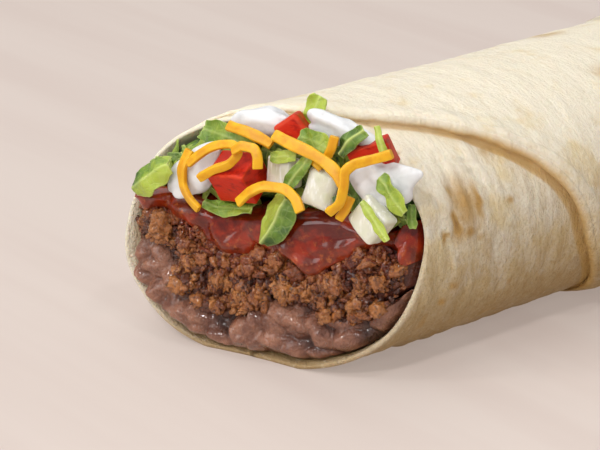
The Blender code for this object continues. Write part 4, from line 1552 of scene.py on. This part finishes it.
@dataclass
class Fillings:
    """The four layers inside the wrap and the loose pieces on their fronts."""

    layers: tuple[Layer, ...] = LAYERS
    bits: tuple[Bits, ...] = (
        Bits("beef_crumbs", 3, 600, (0.6, 1.4), 1.35),
        Bits("beef_grains", 2, 1700, (0.3, 0.75), 0.0))
    clump_size: float = 3.1         # distance over which clumps of beef come and go
    clump_gap: float = -0.5         # below this the clumps leave gaps
    beef_width: tuple[float, float] = (-31.4, 32.2)
    beef_oval: tuple[float, float] = (31.4, 23.5)
    beef_shift: float = 0.4         # how far left of the middle that oval lies
    beef_below: float = 1.2         # how far down over the beans the bits go
    beef_under: float = 0.3         # how far below the sauce they stop
    sauce_reach: float = 2.5        # how far below the sauce they lie flatter
    left_edge: float = 0.62         # part of the oval past which the left side falls back
    left_fall: float = 2.2
    shreds: int = 140
    shred_width: tuple[float, float] = (-30, 29)
    shred_height: tuple[float, float] = (33, 50)
    shred_oval: tuple[float, float] = (30, 22.5)
    seed: int = 21

    def crumb(self, rng: np.random.Generator, ball_points: Points, size: float) -> Points:
        """One crumb of beef round its own middle: an uneven clump of grains.

        Args:
            rng: Source of the random draws.
            ball_points: Points of a ball of radius 1.
            size: The crumb's radius.

        Returns:
            The crumb's points.
        """
        seed = rng.uniform(0, 90)
        clump = 0.6 * grain(ball_points, 0.8, seed) - 0.6 * np.abs(grain(ball_points, 0.45, seed + 5))
        clump += 0.2 * grain(ball_points, 0.22, seed + 9)
        points = ball_points * (1.0 + clump)[:, None] * rng.uniform(0.6, 1.6, 3) * size
        spin = Matrix.Rotation(rng.uniform(0, 6.3), 3, rng.normal(size=3).tolist())
        return points @ np.array(spin).T

    def scatter(self, rng: np.random.Generator, bits: Bits) -> Shape:
        """Spread bits of beef over the front of the layer, in clumps with gaps between.

        Args:
            rng: Source of the random draws.
            bits: What to spread.

        Returns:
            All the bits, with their tone and glaze.
        """
        ball_points, ball_faces = ball(bits.detail)
        parts = []
        while len(parts) < bits.count:
            x = rng.uniform(*self.beef_width)
            low, high = float(BEANS_TOP(x)), float(BEEF_TOP(x))
            z = rng.uniform(low - self.beef_below, high - self.beef_under)
            edge = WRAP.oval(x + self.beef_shift, z, *self.beef_oval)
            clump = 2 * noise.noise((x / self.clump_size, 3.0, z / self.clump_size))
            if edge > 1 or (clump < self.clump_gap and bits.rise):
                continue
            size = rng.uniform(*bits.sizes) * (0.9 + 0.25 * max(clump, 0.0))
            under = float(np.clip((high - z) / self.sauce_reach, 0, 1))
            base = float(beef_front(np.array([x]), np.array([z]))[0][0])
            out = base + (bits.rise * clump + rng.uniform(-0.3, 0.9)) * under
            past = max(edge - self.left_edge, 0.0)
            out -= self.left_fall * past / (1 - self.left_edge) * float(soft_step(-x, 12))
            share = (z - low) / max(high - low, 1.0)
            glaze = float(np.clip((share - 0.45) * 1.9, 0, 1)) * rng.uniform(0.3, 1.0)
            # The tone is random, and lower in the gaps between clumps: painted shade there.
            tone = float(np.clip(0.5 + 0.35 * clump + rng.uniform(-0.35, 0.35), 0, 1))
            values = {name: np.full(len(ball_points), value)
                      for name, value in (("tone", tone), ("glaze", glaze))}
            points = self.crumb(rng, ball_points, size) + WRAP.at_mouth(x, z, out)
            parts.append(Shape(points, ball_faces, values))
        return Shape.joined(parts)

    def build_beef(self, kitchen: Kitchen) -> None:
        """Scatter the loose crumbs and the finer grains between them.

        Args:
            kitchen: What puts them in the scene.
        """
        rng = np.random.default_rng(self.seed)
        for bits in self.bits:
            kitchen.add(bits.name, self.scatter(rng, bits), Finishes.BEEF, ["beef"])

    def build_shreds(self, kitchen: Kitchen) -> None:
        """Lay fine shreds of lettuce over the front of the lettuce core.

        Args:
            kitchen: What puts them in the scene.
        """
        rng = np.random.default_rng(self.seed + 1)
        parts = []
        while len(parts) < self.shreds:
            x, z = rng.uniform(*self.shred_width), rng.uniform(*self.shred_height)
            if WRAP.oval(x, z, *self.shred_oval) > 1 or z < float(SAUCE_TOP(x)) + 1:
                continue
            leaf = Leaf("greens", rng.uniform(5, 9), rng.uniform(1.4, 2.6), (x, z, rng.uniform(-0.2, 1.5)),
                        (rng.uniform(-40, 40), rng.uniform(-15, 15), rng.uniform(-90, 90)),
                        bend=rng.uniform(-0.3, 0.9), ruffle=0.3, tone=rng.uniform(0.1, 0.7),
                        rib=rng.uniform(0, 0.3), rows=18, cols=6)
            parts.append(leaf.shape())
        kitchen.add("lettuce_shreds", Shape.joined(parts), Finishes.LETTUCE, ["greens"])

    def build(self, kitchen: Kitchen) -> None:
        """Make the layers from the bottom up, each followed by its loose pieces.

        Args:
            kitchen: What puts them in the scene.
        """
        loose = {"beef_core": self.build_beef, "lettuce_core": self.build_shreds}
        for layer in self.layers:
            kitchen.add(layer.name, layer.shape(), layer.finish, layer.nodes)
            if layer.name in loose:
                loose[layer.name](kitchen)


# --- Toppings ---------------------------------------------------------------------------------

def turned(points: Points, place: tuple[float, float, float],
           turn: tuple[float, float, float]) -> Points:
    """Turn a piece's own points (right, in, up) and put them at the mouth.

    Args:
        points: The piece round its own middle.
        place: (x, z, out) at the mouth.
        turn: Roll about its length, swing about its height, and lean in the mouth's plane.

    Returns:
        The points in place.
    """
    roll, swing, lean = (math.radians(a) for a in turn)
    spin = (Matrix.Rotation(-lean, 3, "Y") @ Matrix.Rotation(swing, 3, "Z")
            @ Matrix.Rotation(roll, 3, "X"))
    return WRAP.at_mouth(*place) + points @ np.array(WRAP.axes() @ spin).T


@dataclass
class Leaf:
    """A torn piece of lettuce: a thin sheet with a rib, ruffled and torn at its edges."""

    node: str
    length: float
    width: float
    place: tuple[float, float, float]
    turn: tuple[float, float, float]
    bend: float = 0.0
    cup: float = 0.0
    ruffle: float = 0.4
    tone: float = 0.5
    rib: float = 0.6
    fold: float = 0.0           # how far its sides bend back from the rib
    point: float = 0.0          # how much its first end narrows to a tip
    painted_half_light: float = 0.0         # how much lighter its upper half is, as painted light on one side of its fold
    thickness: float = 0.45
    sway: float = 0.08          # how far its rib wanders, as a share of its width
    rib_width: float = 0.32
    rows: int = 56
    cols: int = 30

    def shape(self) -> Shape:
        """Make the leaf's closed mesh.

        Returns:
            The mesh, with its tone and its rib.
        """
        u, v = np.meshgrid(np.linspace(-1, 1, self.rows), np.linspace(-1, 1, self.cols))
        u, v = u.ravel(), v.ravel()
        flat = np.stack([u * self.length / 2, v * self.width / 2, np.full_like(u, self.length)], 1)
        along = flat * [1, 0, 1]
        torn = 1 + 0.22 * grain(along, 2.6, self.width) + 0.05 * grain(along, 0.9, 7.0)
        x = u * self.length / 2 * (1 + 0.05 * grain(flat * [0, 1, 1], 1.0, 2.0))
        narrow = (1 - 0.35 * np.abs(u) ** 2.5) * (1 - self.point * np.clip(-u, 0, 1) ** 1.6)
        middle = self.sway * self.width * np.sin(2.2 * u + self.length)
        z = v * self.width / 2 * narrow * torn + middle
        rib = np.exp(-((z - middle) / self.rib_width) ** 2)
        # It bends and cups, its ruffles grow towards its edges, then it folds and crumples.
        y = self.bend * u * u + self.cup * v * v
        y += self.ruffle * np.sin(5.5 * u + 2.0 * v + self.width) * (0.4 + 0.6 * v * v)
        y += 0.45 * self.ruffle * np.sin(9 * u + 3 * v) * v * v
        y += self.fold * np.abs(v) + 0.7 * grain(flat, 2.4, 4.0) * (0.4 + 0.6 * np.abs(v))
        y -= 0.25 * rib * self.rib
        thick = self.thickness * (0.55 + 0.6 * rib * self.rib)
        front, back = np.stack([x, y - thick / 2, z], 1), np.stack([x, y + thick / 2, z], 1)
        count = len(u)
        faces = grid_faces(self.cols, self.rows)
        faces += [tuple(v + count for v in f[::-1]) for f in grid_faces(self.cols, self.rows)]
        loop = edge_loop(self.cols, self.rows)
        faces += [(a, a + count, b + count, b) for a, b in zip(loop, loop[1:] + loop[:1])]
        margin = np.clip((np.maximum(np.abs(u), np.abs(v)) - 0.93) / 0.07, 0, 1)
        pale = np.clip(rib * self.rib + 0.35 * margin, 0, 1)
        # The upper half is painted lighter, as light on one side of the fold, or darker below 0, as
        # painted shade.
        tone = np.clip(self.tone + 0.15 * u + self.painted_half_light * np.tanh(4 * v), 0, 1)
        values = {"tone": np.tile(tone, 2), "rib": np.tile(pale, 2)}
        return Shape(turned(np.concatenate([front, back]), self.place, self.turn), faces, values)


@dataclass
class Dice:
    """A cut cube with softly rounded edges; onion's layers bow."""

    node: str
    size: tuple[float, float, float]
    place: tuple[float, float, float]
    turn: tuple[float, float, float]
    bow: float = 0.0
    rounding: float = 0.4
    cuts: int = 19
    crowding: float = 0.8       # below 1, the cuts lie closer to the cube's edges
    skew: float = 0.06

    def shape(self) -> Shape:
        """Make the cube's closed mesh.

        Returns:
            The mesh, with the points on its edges marked.
        """
        bm = bmesh.new()
        bmesh.ops.create_cube(bm, size=2.0)
        bmesh.ops.subdivide_edges(bm, edges=bm.edges[:], cuts=self.cuts, use_grid_fill=True)
        cube = np.array([v.co[:] for v in bm.verts])
        faces = [tuple(v.index for v in f.verts) for f in bm.faces]
        bm.free()
        half = np.array(self.size) / 2
        cube = signed_power(cube, self.crowding)
        core = np.clip(cube * half, -(half - self.rounding), half - self.rounding)
        away = cube * half - core
        points = core + self.rounding * away / np.linalg.norm(away, axis=1)[:, None]
        # A point on an edge or a corner lies away from the core along two or three axes.
        corner = np.clip((np.abs(away) > 0.05).sum(1) - 1, 0, 1).astype(float)
        seeds = points + np.array(self.place)
        wobble = np.stack([grain(seeds, 5.0, s) for s in (1.0, 2.0, 3.0)], 1)
        points = points * (1 + self.skew * wobble) + 0.12 * wobble
        points[:, 1] += self.bow * (points[:, 0] / half[0]) ** 2
        points += 0.05 * np.stack([grain(seeds, 1.1, s) for s in (4.0, 5.0, 6.0)], 1)
        return Shape(turned(points, self.place, self.turn), faces, {"corner": corner})


@dataclass
class Shred:
    """A cheese shred: a flat strip with crisp edges, swept through (x, z, out) points."""

    node: str
    route: tuple[tuple[float, float, float], ...]
    width: float = 2.6
    thickness: float = 1.25
    trim: float = 0.9           # its width, as a share of the CAD strip's
    roll: float = 24.0          # how far it is rolled about its length
    twist: float = 12.0         # how much that roll changes along it
    worn: float = 0.1           # how much thinner its very ends are
    worn_part: float = 0.04     # the part of its length where they are
    stations: int = 72
    sides: int = 20
    crispness: tuple[float, float] = (0.36, 0.6)    # powers that square off its section

    def shape(self) -> Shape:
        """Make the shred's closed mesh.

        Returns:
            The mesh, with its corners and the places for the grater's lines.
        """
        t = np.linspace(0, len(self.route) - 1, self.stations)
        x, z, out = (Curve([(k, p[axis]) for k, p in enumerate(self.route)])(t) for axis in range(3))
        line = WRAP.at_mouth(x, z, out)
        ahead = np.gradient(line, axis=0)
        for _ in range(2):
            ahead[1:-1] = (ahead[:-2] + 2 * ahead[1:-1] + ahead[2:]) / 4
        ahead /= np.linalg.norm(ahead, axis=1)[:, None]
        face_out = np.array(WRAP.axes() @ Vector((0, -1, 0)))
        side = np.cross(ahead, face_out)
        side /= np.linalg.norm(side, axis=1)[:, None]
        flat = np.cross(side, ahead)
        run = np.linspace(-0.5, 0.5, self.stations)
        roll = np.radians(self.roll + self.twist * np.sin(run * 5 + self.route[0][0]))[:, None]
        wide = side * np.cos(roll) + flat * np.sin(roll)
        thin = flat * np.cos(roll) - side * np.sin(roll)
        steps = np.linspace(0, 2 * math.pi, self.sides, endpoint=False)
        px = signed_power(np.cos(steps), self.crispness[0])
        pz = signed_power(np.sin(steps), self.crispness[1])
        across, up = px * self.width * self.trim / 2, pz * self.thickness / 2
        ends = np.clip(np.abs(run) * 2 - (1 - self.worn_part), 0, 1) / self.worn_part
        swell = 1 + 0.16 * grain(line, 3.2, 8.0) - self.worn * ends
        points = line[:, None] + swell[:, None, None] * (wide[:, None] * across[None, :, None]
                                                         + thin[:, None] * up[None, :, None])
        last = (self.stations - 1) * self.sides
        faces = ring_faces(self.stations, self.sides)
        faces += [tuple(range(self.sides))[::-1], tuple(range(last, last + self.sides))]
        reach = np.concatenate(([0.0], np.cumsum(np.linalg.norm(np.diff(line, axis=0), axis=1))))
        grated = np.zeros((self.stations, self.sides, 3))
        grated[..., 0] = reach[:, None] * 0.06      # drawn out, so that the lines run along it
        grated[..., 1] = across
        grated[..., 2] = up + self.route[0][1]
        corner = np.tile(np.clip((np.abs(px * pz) - 0.45) / 0.4, 0, 1), self.stations)
        return Shape(points.reshape(-1, 3), faces,
                     {"corner": corner, "grated": grated.reshape(-1, 3) * MM})


@dataclass
class Dollop:
    """A spoonful of soured cream: soft overlapping swells, with an optional drawn-up peak."""

    node: str
    size: tuple[float, float, float]
    place: tuple[float, float, float]
    lean: float = 0.0
    peak: Optional[tuple[float, float]] = None                   # (right, up) that it is drawn to
    swells: tuple[tuple[float, float, float, float], ...] = ()   # (right, in, up) and strength
    folds: float = 0.1
    swell_power: int = 5        # a higher power makes a narrower swell
    peak_power: int = 11
    peak_height: float = 0.8
    flat_back: float = 0.6      # thickness of its back half, as a share of its front half
    detail: int = 6

    def shape(self) -> Shape:
        """Make the dollop's closed mesh.

        Returns:
            The mesh.
        """
        points, faces = ball(self.detail)
        swirl = 5 * points[:, 2] + 2.2 * points[:, 0] + 2.0 * grain(points, 0.9, self.size[1])
        swell = 1 + 0.16 * grain(points, 0.75, self.size[0]) + self.folds * np.sin(swirl)
        for right, inward, up, strength in self.swells:
            way = np.array([right, inward, up]) / math.sqrt(right**2 + inward**2 + up**2)
            swell += strength * np.maximum(points @ way, 0.0) ** self.swell_power
        shaped = points * swell[:, None]
        if self.peak:
            way = np.array([self.peak[0], -0.3, self.peak[1]])
            way /= np.linalg.norm(way)
            drawn = self.peak_height * np.maximum(points @ way, 0.0) ** self.peak_power
            shaped += way * drawn[:, None]
        shaped[:, 1] *= np.where(shaped[:, 1] > 0, self.flat_back, 1.0)
        shaped *= np.array(self.size) / 2
        shaped += 0.12 * np.stack([grain(shaped, 2.4, s) for s in (1.0, 2.0, 3.0)], 1)
        return Shape(turned(shaped, self.place, (0, 0, self.lean)), faces)


@dataclass
class Toppings:
    """Everything heaped on top at the mouth.

    Each piece is centred on the CAD node that it stands for. Only the extra bits of cheese, which
    share a shred's node, lie where their routes say.
    """

    dollops: tuple[Dollop, ...] = (
        Dollop("cream_1", (8.4, 4.6, 16.0), (-14.8, 40.0, 6.3), lean=-50,
               swells=((0.6, -0.5, -0.7, 0.25), (-0.4, -0.6, 0.8, 0.2))),
        Dollop("cream_2", (14.0, 6.2, 6.6), (-2.6, 51.6, 4.4), lean=10, folds=0.06,
               swells=((-0.9, -0.4, 0.0, 0.2),)),
        Dollop("cream_3", (16.0, 5.4, 5.6), (15.4, 52.9, 4.8), lean=-8, folds=0.16,
               swells=((-0.6, -0.6, 0.3, 0.35), (0.8, -0.4, -0.2, 0.15), (0.1, -0.5, 0.9, 0.2))),
        Dollop("cream_4", (13.6, 7.0, 10.4), (26.4, 43.8, 5.2), lean=-25, peak=(0.62, 0.85),
               folds=0.09,
               swells=((-0.9, -0.5, -0.1, 0.16), (0.2, -0.8, -0.6, 0.1), (-0.4, -0.3, 0.9, -0.3))))
    tomatoes: tuple[Dice, ...] = (
        Dice("tomato_1", (9.6, 7.8, 8.0), (-3.7, 40.4, 7.4), (42, -6, 6)),
        Dice("tomato_2", (6.0, 5.0, 6.0), (5.2, 51.4, 5.5), (12, 8, 42), rounding=0.8),
        Dice("tomato_3", (9.0, 4.0, 6.5), (22.4, 48.6, 4.3), (24, 8, 26)))
    onions: tuple[Dice, ...] = (
        Dice("onion_1", (7.0, 4.2, 6.2), (4.8, 42.9, 6.2), (8, -14, -4), 0.5, 0.7),
        Dice("onion_2", (6.6, 4.6, 8.0), (14.2, 41.0, 6.8), (-6, 10, -12), 0.6, 1.3, skew=0.16),
        Dice("onion_3", (8.0, 4.0, 7.6), (26.9, 37.2, 8.0), (10, -8, -38), 0.7, 0.8))
    shreds: tuple[Shred, ...] = (
        Shred("cheese_1", ((-9.6, 32.9, 9.8), (-12.4, 35.0, 9.8), (-14.3, 37.8, 9.8),
                           (-14.8, 41.0, 10.0), (-14.2, 44.7, 9.4))),
        Shred("cheese_2", ((-12.0, 42.6, 12.0), (-9.4, 45.4, 12.0), (-6.2, 47.6, 12.0),
                           (-2.8, 48.4, 12.2), (-0.8, 46.9, 12.6), (-2.0, 44.6, 13.0),
                           (-4.8, 43.0, 13.6), (-7.4, 40.8, 14.0)), 2.2),
        Shred("cheese_3", ((-7.4, 51.0, 8.6), (-3.7, 50.9, 9.4), (-0.2, 50.3, 9.6), (3.6, 49.0, 9.4))),
        Shred("cheese_4", ((-0.4, 47.8, 14.6), (1.7, 49.3, 14.6), (3.9, 49.2, 14.6), (5.2, 47.8, 14.6),
                           (5.8, 45.2, 14.6)), 2.4),
        Shred("cheese_5", ((5.4, 51.6, 11.4), (10.1, 50.7, 12.2), (14.7, 49.7, 12.4), (18.5, 48.1, 12.2),
                           (20.8, 46.4, 12.0), (22.4, 44.2, 11.6)), 2.9),
        Shred("cheese_6", ((2.4, 37.4, 14.2), (4.8, 40.2, 14.2), (7.6, 41.7, 13.6), (10.6, 41.6, 12.8),
                           (13.5, 40.2, 12.8), (15.5, 37.7, 13.0))),
        Shred("cheese_7", ((31.4, 52.2, 11.6), (29.2, 51.1, 11.8), (26.9, 50.1, 12.2), (24.9, 49.1, 13.2),
                           (24.1, 47.4, 14.0), (24.4, 44.8, 14.0), (23.6, 41.2, 13.2),
                           (21.0, 38.4, 12.4)), 2.3),
        Shred("cheese_8", ((18.3, 53.4, 10.9), (17.9, 51.3, 10.6), (17.0, 49.0, 10.2)), 2.2),
        Shred("cheese_9", ((23.4, 41.6, 10.0), (23.0, 39.2, 10.4), (21.8, 36.8, 10.2)), 2.2))
    bits: tuple[Shred, ...] = (
        Shred("cheese_8", ((12.0, 47.6, 8.4), (13.4, 46.6, 8.6), (14.8, 45.6, 8.4)), 1.9, 1.3),)
    leaves: tuple[Leaf, ...] = (
        Leaf("lettuce_1", 12.0, 6.5, (-22.4, 37.8, 10.4), (-14, -8, 32), 1.2, 0.9, tone=0.6, rib=0.5,
             fold=0.5, point=0.3, painted_half_light=-0.2),
        Leaf("lettuce_2", 14.0, 6.0, (-10.8, 46.2, 3.6), (-10, 0, -14), 0.4, -0.4, 0.5, tone=0.5, rib=0.3),
        Leaf("lettuce_3", 6.0, 3.0, (6.7, 47.0, 9.5), (-14, 0, 6), 0.4, 0.0, 0.2, tone=0.8, rib=0.3),
        Leaf("lettuce_4", 6.5, 5.0, (5.8, 54.8, 1.7), (0, 0, 70), 0.2, 0.0, 0.3, tone=0.95, rib=0.5),
        Leaf("lettuce_5", 8.6, 4.8, (12.9, 50.6, 9.0), (-6, 0, -8), 0.3, 0.0, 0.4, tone=0.55, rib=0.2),
        Leaf("lettuce_6", 7.8, 3.6, (20.6, 52.6, 9.4), (-8, 0, 48), 0.2, 0.3, 0.2, tone=0.2, rib=0.8),
        Leaf("lettuce_7", 7.5, 1.8, (26.4, 52.8, 8.4), (0, 0, -68), 0.0, 0.0, 0.15, tone=0.95, rib=0.5),
        Leaf("lettuce_8", 9.0, 3.0, (11.0, 44.2, 10.2), (10, 0, 62), 0.3, 0.0, 0.3, tone=0.4, rib=0.5),
        Leaf("lettuce_9", 11.5, 8.0, (7.2, 33.4, 9.6), (-10, 0, 62), 0.7, 0.4, 0.2, tone=0.5, rib=0.9,
             fold=0.8, point=0.55, painted_half_light=0.3),
        Leaf("lettuce_10", 12.0, 4.0, (-5.2, 33.2, 6.7), (-52, 0, 2), -0.9, 0.3, 0.3, tone=0.45, rib=0.2),
        Leaf("lettuce_11", 9.0, 4.0, (31.8, 43.6, 10.4), (8, 0, -42), 0.6, 0.0, 0.3, tone=0.6, rib=0.4),
        Leaf("lettuce_12", 9.5, 2.2, (30.8, 38.4, 12.0), (0, 0, -44), 0.0, 0.0, 0.15, tone=0.9, rib=0.5),
        Leaf("lettuce_13", 5.0, 2.2, (33.0, 38.2, 4.6), (0, 0, -80), 0.0, 0.0, 0.15, tone=0.3, rib=0.2),
        Leaf("lettuce_14", 4.5, 3.0, (20.0, 39.6, 7.6), (0, 0, 20), 0.0, 0.0, 0.2, tone=0.1, rib=0.1))

    def build(self, kitchen: Kitchen) -> None:
        """Make every topping.

        Args:
            kitchen: What puts them in the scene.
        """
        kinds = ((self.dollops, Finishes.CREAM, SOFT_EDGES),
                 (self.tomatoes, Finishes.TOMATO, SOFT_EDGES),
                 (self.onions, Finishes.ONION, SOFT_EDGES),
                 (self.shreds, Finishes.CHEESE, CRISP_EDGES),
                 (self.leaves, Finishes.LETTUCE, SOFT_EDGES))
        for pieces, finish, sharp in kinds:
            for piece in pieces:
                shape = piece.shape().centred_on(piece.node, kitchen)
                kitchen.add(f"{piece.node}_piece", shape, finish, [piece.node], sharp)
        for bit in self.bits:
            kitchen.add("cheese_bit", bit.shape(), Finishes.CHEESE, [bit.node], CRISP_EDGES)


# --- The studio -------------------------------------------------------------------------------

@dataclass(frozen=True)
class SoftBox:
    """A rectangular lamp: direction from the subject by (right, away, up) of the camera's view."""

    name: str
    way: tuple[float, float, float]
    distance: float
    width: float
    height: float
    power: float
    colour: Colour = (1.0, 1.0, 1.0)


@dataclass
class Studio:
    """Camera, soft lamps, even sky and a plain pale table. Lengths here are metres."""

    azimuth: float = 51.0
    elevation: float = 20.5
    distance: float = 0.5128
    lens_mm: float = 144.0
    aim: tuple[float, float, float] = (2.95, 5.5, 28.87)     # millimetres from the mouth's middle
    sky: Colour = (0.97, 0.97, 1.0)
    sky_strength: float = 0.38
    lamps: tuple[SoftBox, ...] = (
        SoftBox("key", (-0.3, 0.3, 1.4), 2.0, 1.9, 1.9, 17.5, (1.0, 0.985, 0.955)),
        SoftBox("fill", (-1.1, -0.8, 0.7), 1.6, 0.9, 0.9, 7.5),
        SoftBox("glint", (-0.3, -0.9, 0.95), 0.8, 0.09, 0.06, 1.5),
        SoftBox("spark", (-0.9, -0.3, 1.0), 0.9, 0.09, 0.05, 1.1),
        SoftBox("gleam", (0.35, -0.5, 1.1), 0.9, 0.08, 0.05, 0.8),
        SoftBox("shine", (-0.1, -1.1, 0.6), 0.9, 0.05, 0.08, 0.8))
    table_half: float = 3.0

    def view_axes(self) -> tuple[Vector, Vector, Vector]:
        """Work out the camera's directions.

        Returns:
            Right, ahead and up.
        """
        a, e = math.radians(self.azimuth), math.radians(self.elevation)
        right = Vector((math.cos(a), math.sin(a), 0.0))
        ahead = Vector((-math.sin(a) * math.cos(e), math.cos(a) * math.cos(e), -math.sin(e)))
        return right, ahead, right.cross(ahead)

    def build_camera(self, target: Vector) -> None:
        """Point the camera at the target.

        Args:
            target: The place in the middle of the view, in metres.
        """
        right, ahead, up = self.view_axes()
        camera = bpy.data.objects.new("camera", bpy.data.cameras.new("camera"))
        camera.data.lens = self.lens_mm
        camera.data.sensor_width = 36.0
        camera.data.clip_start = 0.01
        turn = Matrix((right, up, -ahead)).transposed().to_4x4()
        camera.matrix_world = Matrix.Translation(target - ahead * self.distance) @ turn
        bpy.context.scene.collection.objects.link(camera)
        bpy.context.scene.camera = camera

    def build_lamps(self, target: Vector) -> None:
        """Hang the soft boxes round the subject.

        Args:
            target: The place that they shine at, in metres.
        """
        right, ahead, _ = self.view_axes()
        level = Vector((ahead.x, ahead.y, 0.0)).normalized()
        for box in self.lamps:
            way = (right * box.way[0] + level * box.way[1] + Vector((0, 0, box.way[2]))).normalized()
            light = bpy.data.lights.new(box.name, "AREA")
            light.shape = "RECTANGLE"
            light.size, light.size_y = box.width, box.height
            light.energy, light.color = box.power, box.colour
            lamp = bpy.data.objects.new(box.name, light)
            lamp.location = target + way * box.distance
            lamp.rotation_euler = way.to_track_quat("Z", "Y").to_euler()
            bpy.context.scene.collection.objects.link(lamp)

    def build_surroundings(self) -> None:
        """Lay the table and light the sky."""
        half = self.table_half
        corners = [(-half, -half, 0), (half, -half, 0), (half, half, 0), (-half, half, 0)]
        mesh = bpy.data.meshes.new("table")
        mesh.from_pydata(corners, [], [(0, 1, 2, 3)])
        mesh.materials.append(Finishes.TABLE.value.material())
        table = bpy.data.objects.new("table", mesh)
        bpy.context.scene.collection.objects.link(table)
        world = bpy.data.worlds.new("sky")
        world.use_nodes = True
        background = world.node_tree.nodes["Background"]
        background.inputs["Color"].default_value = (*self.sky, 1.0)
        background.inputs["Strength"].default_value = self.sky_strength
        bpy.context.scene.world = world
        bpy.context.scene.view_settings.view_transform = "Standard"

    def build(self, kitchen: Kitchen) -> None:
        """Set up the whole studio.

        Args:
            kitchen: What knows where the burrito stands.
        """
        target = Vector(kitchen.frame_points(np.array(self.aim)))
        self.build_camera(target)
        self.build_lamps(target)
        self.build_surroundings()


def main() -> None:
    """Build the burrito's pieces and the studio, and note the sizes."""
    logging.basicConfig(level=logging.INFO, format="%(name)s: %(message)s")
    kitchen = Kitchen()
    Studio().build(kitchen)
    Tortilla().build(kitchen)
    Fillings().build(kitchen)
    Toppings().build(kitchen)


if __name__ == "__main__":
    main()
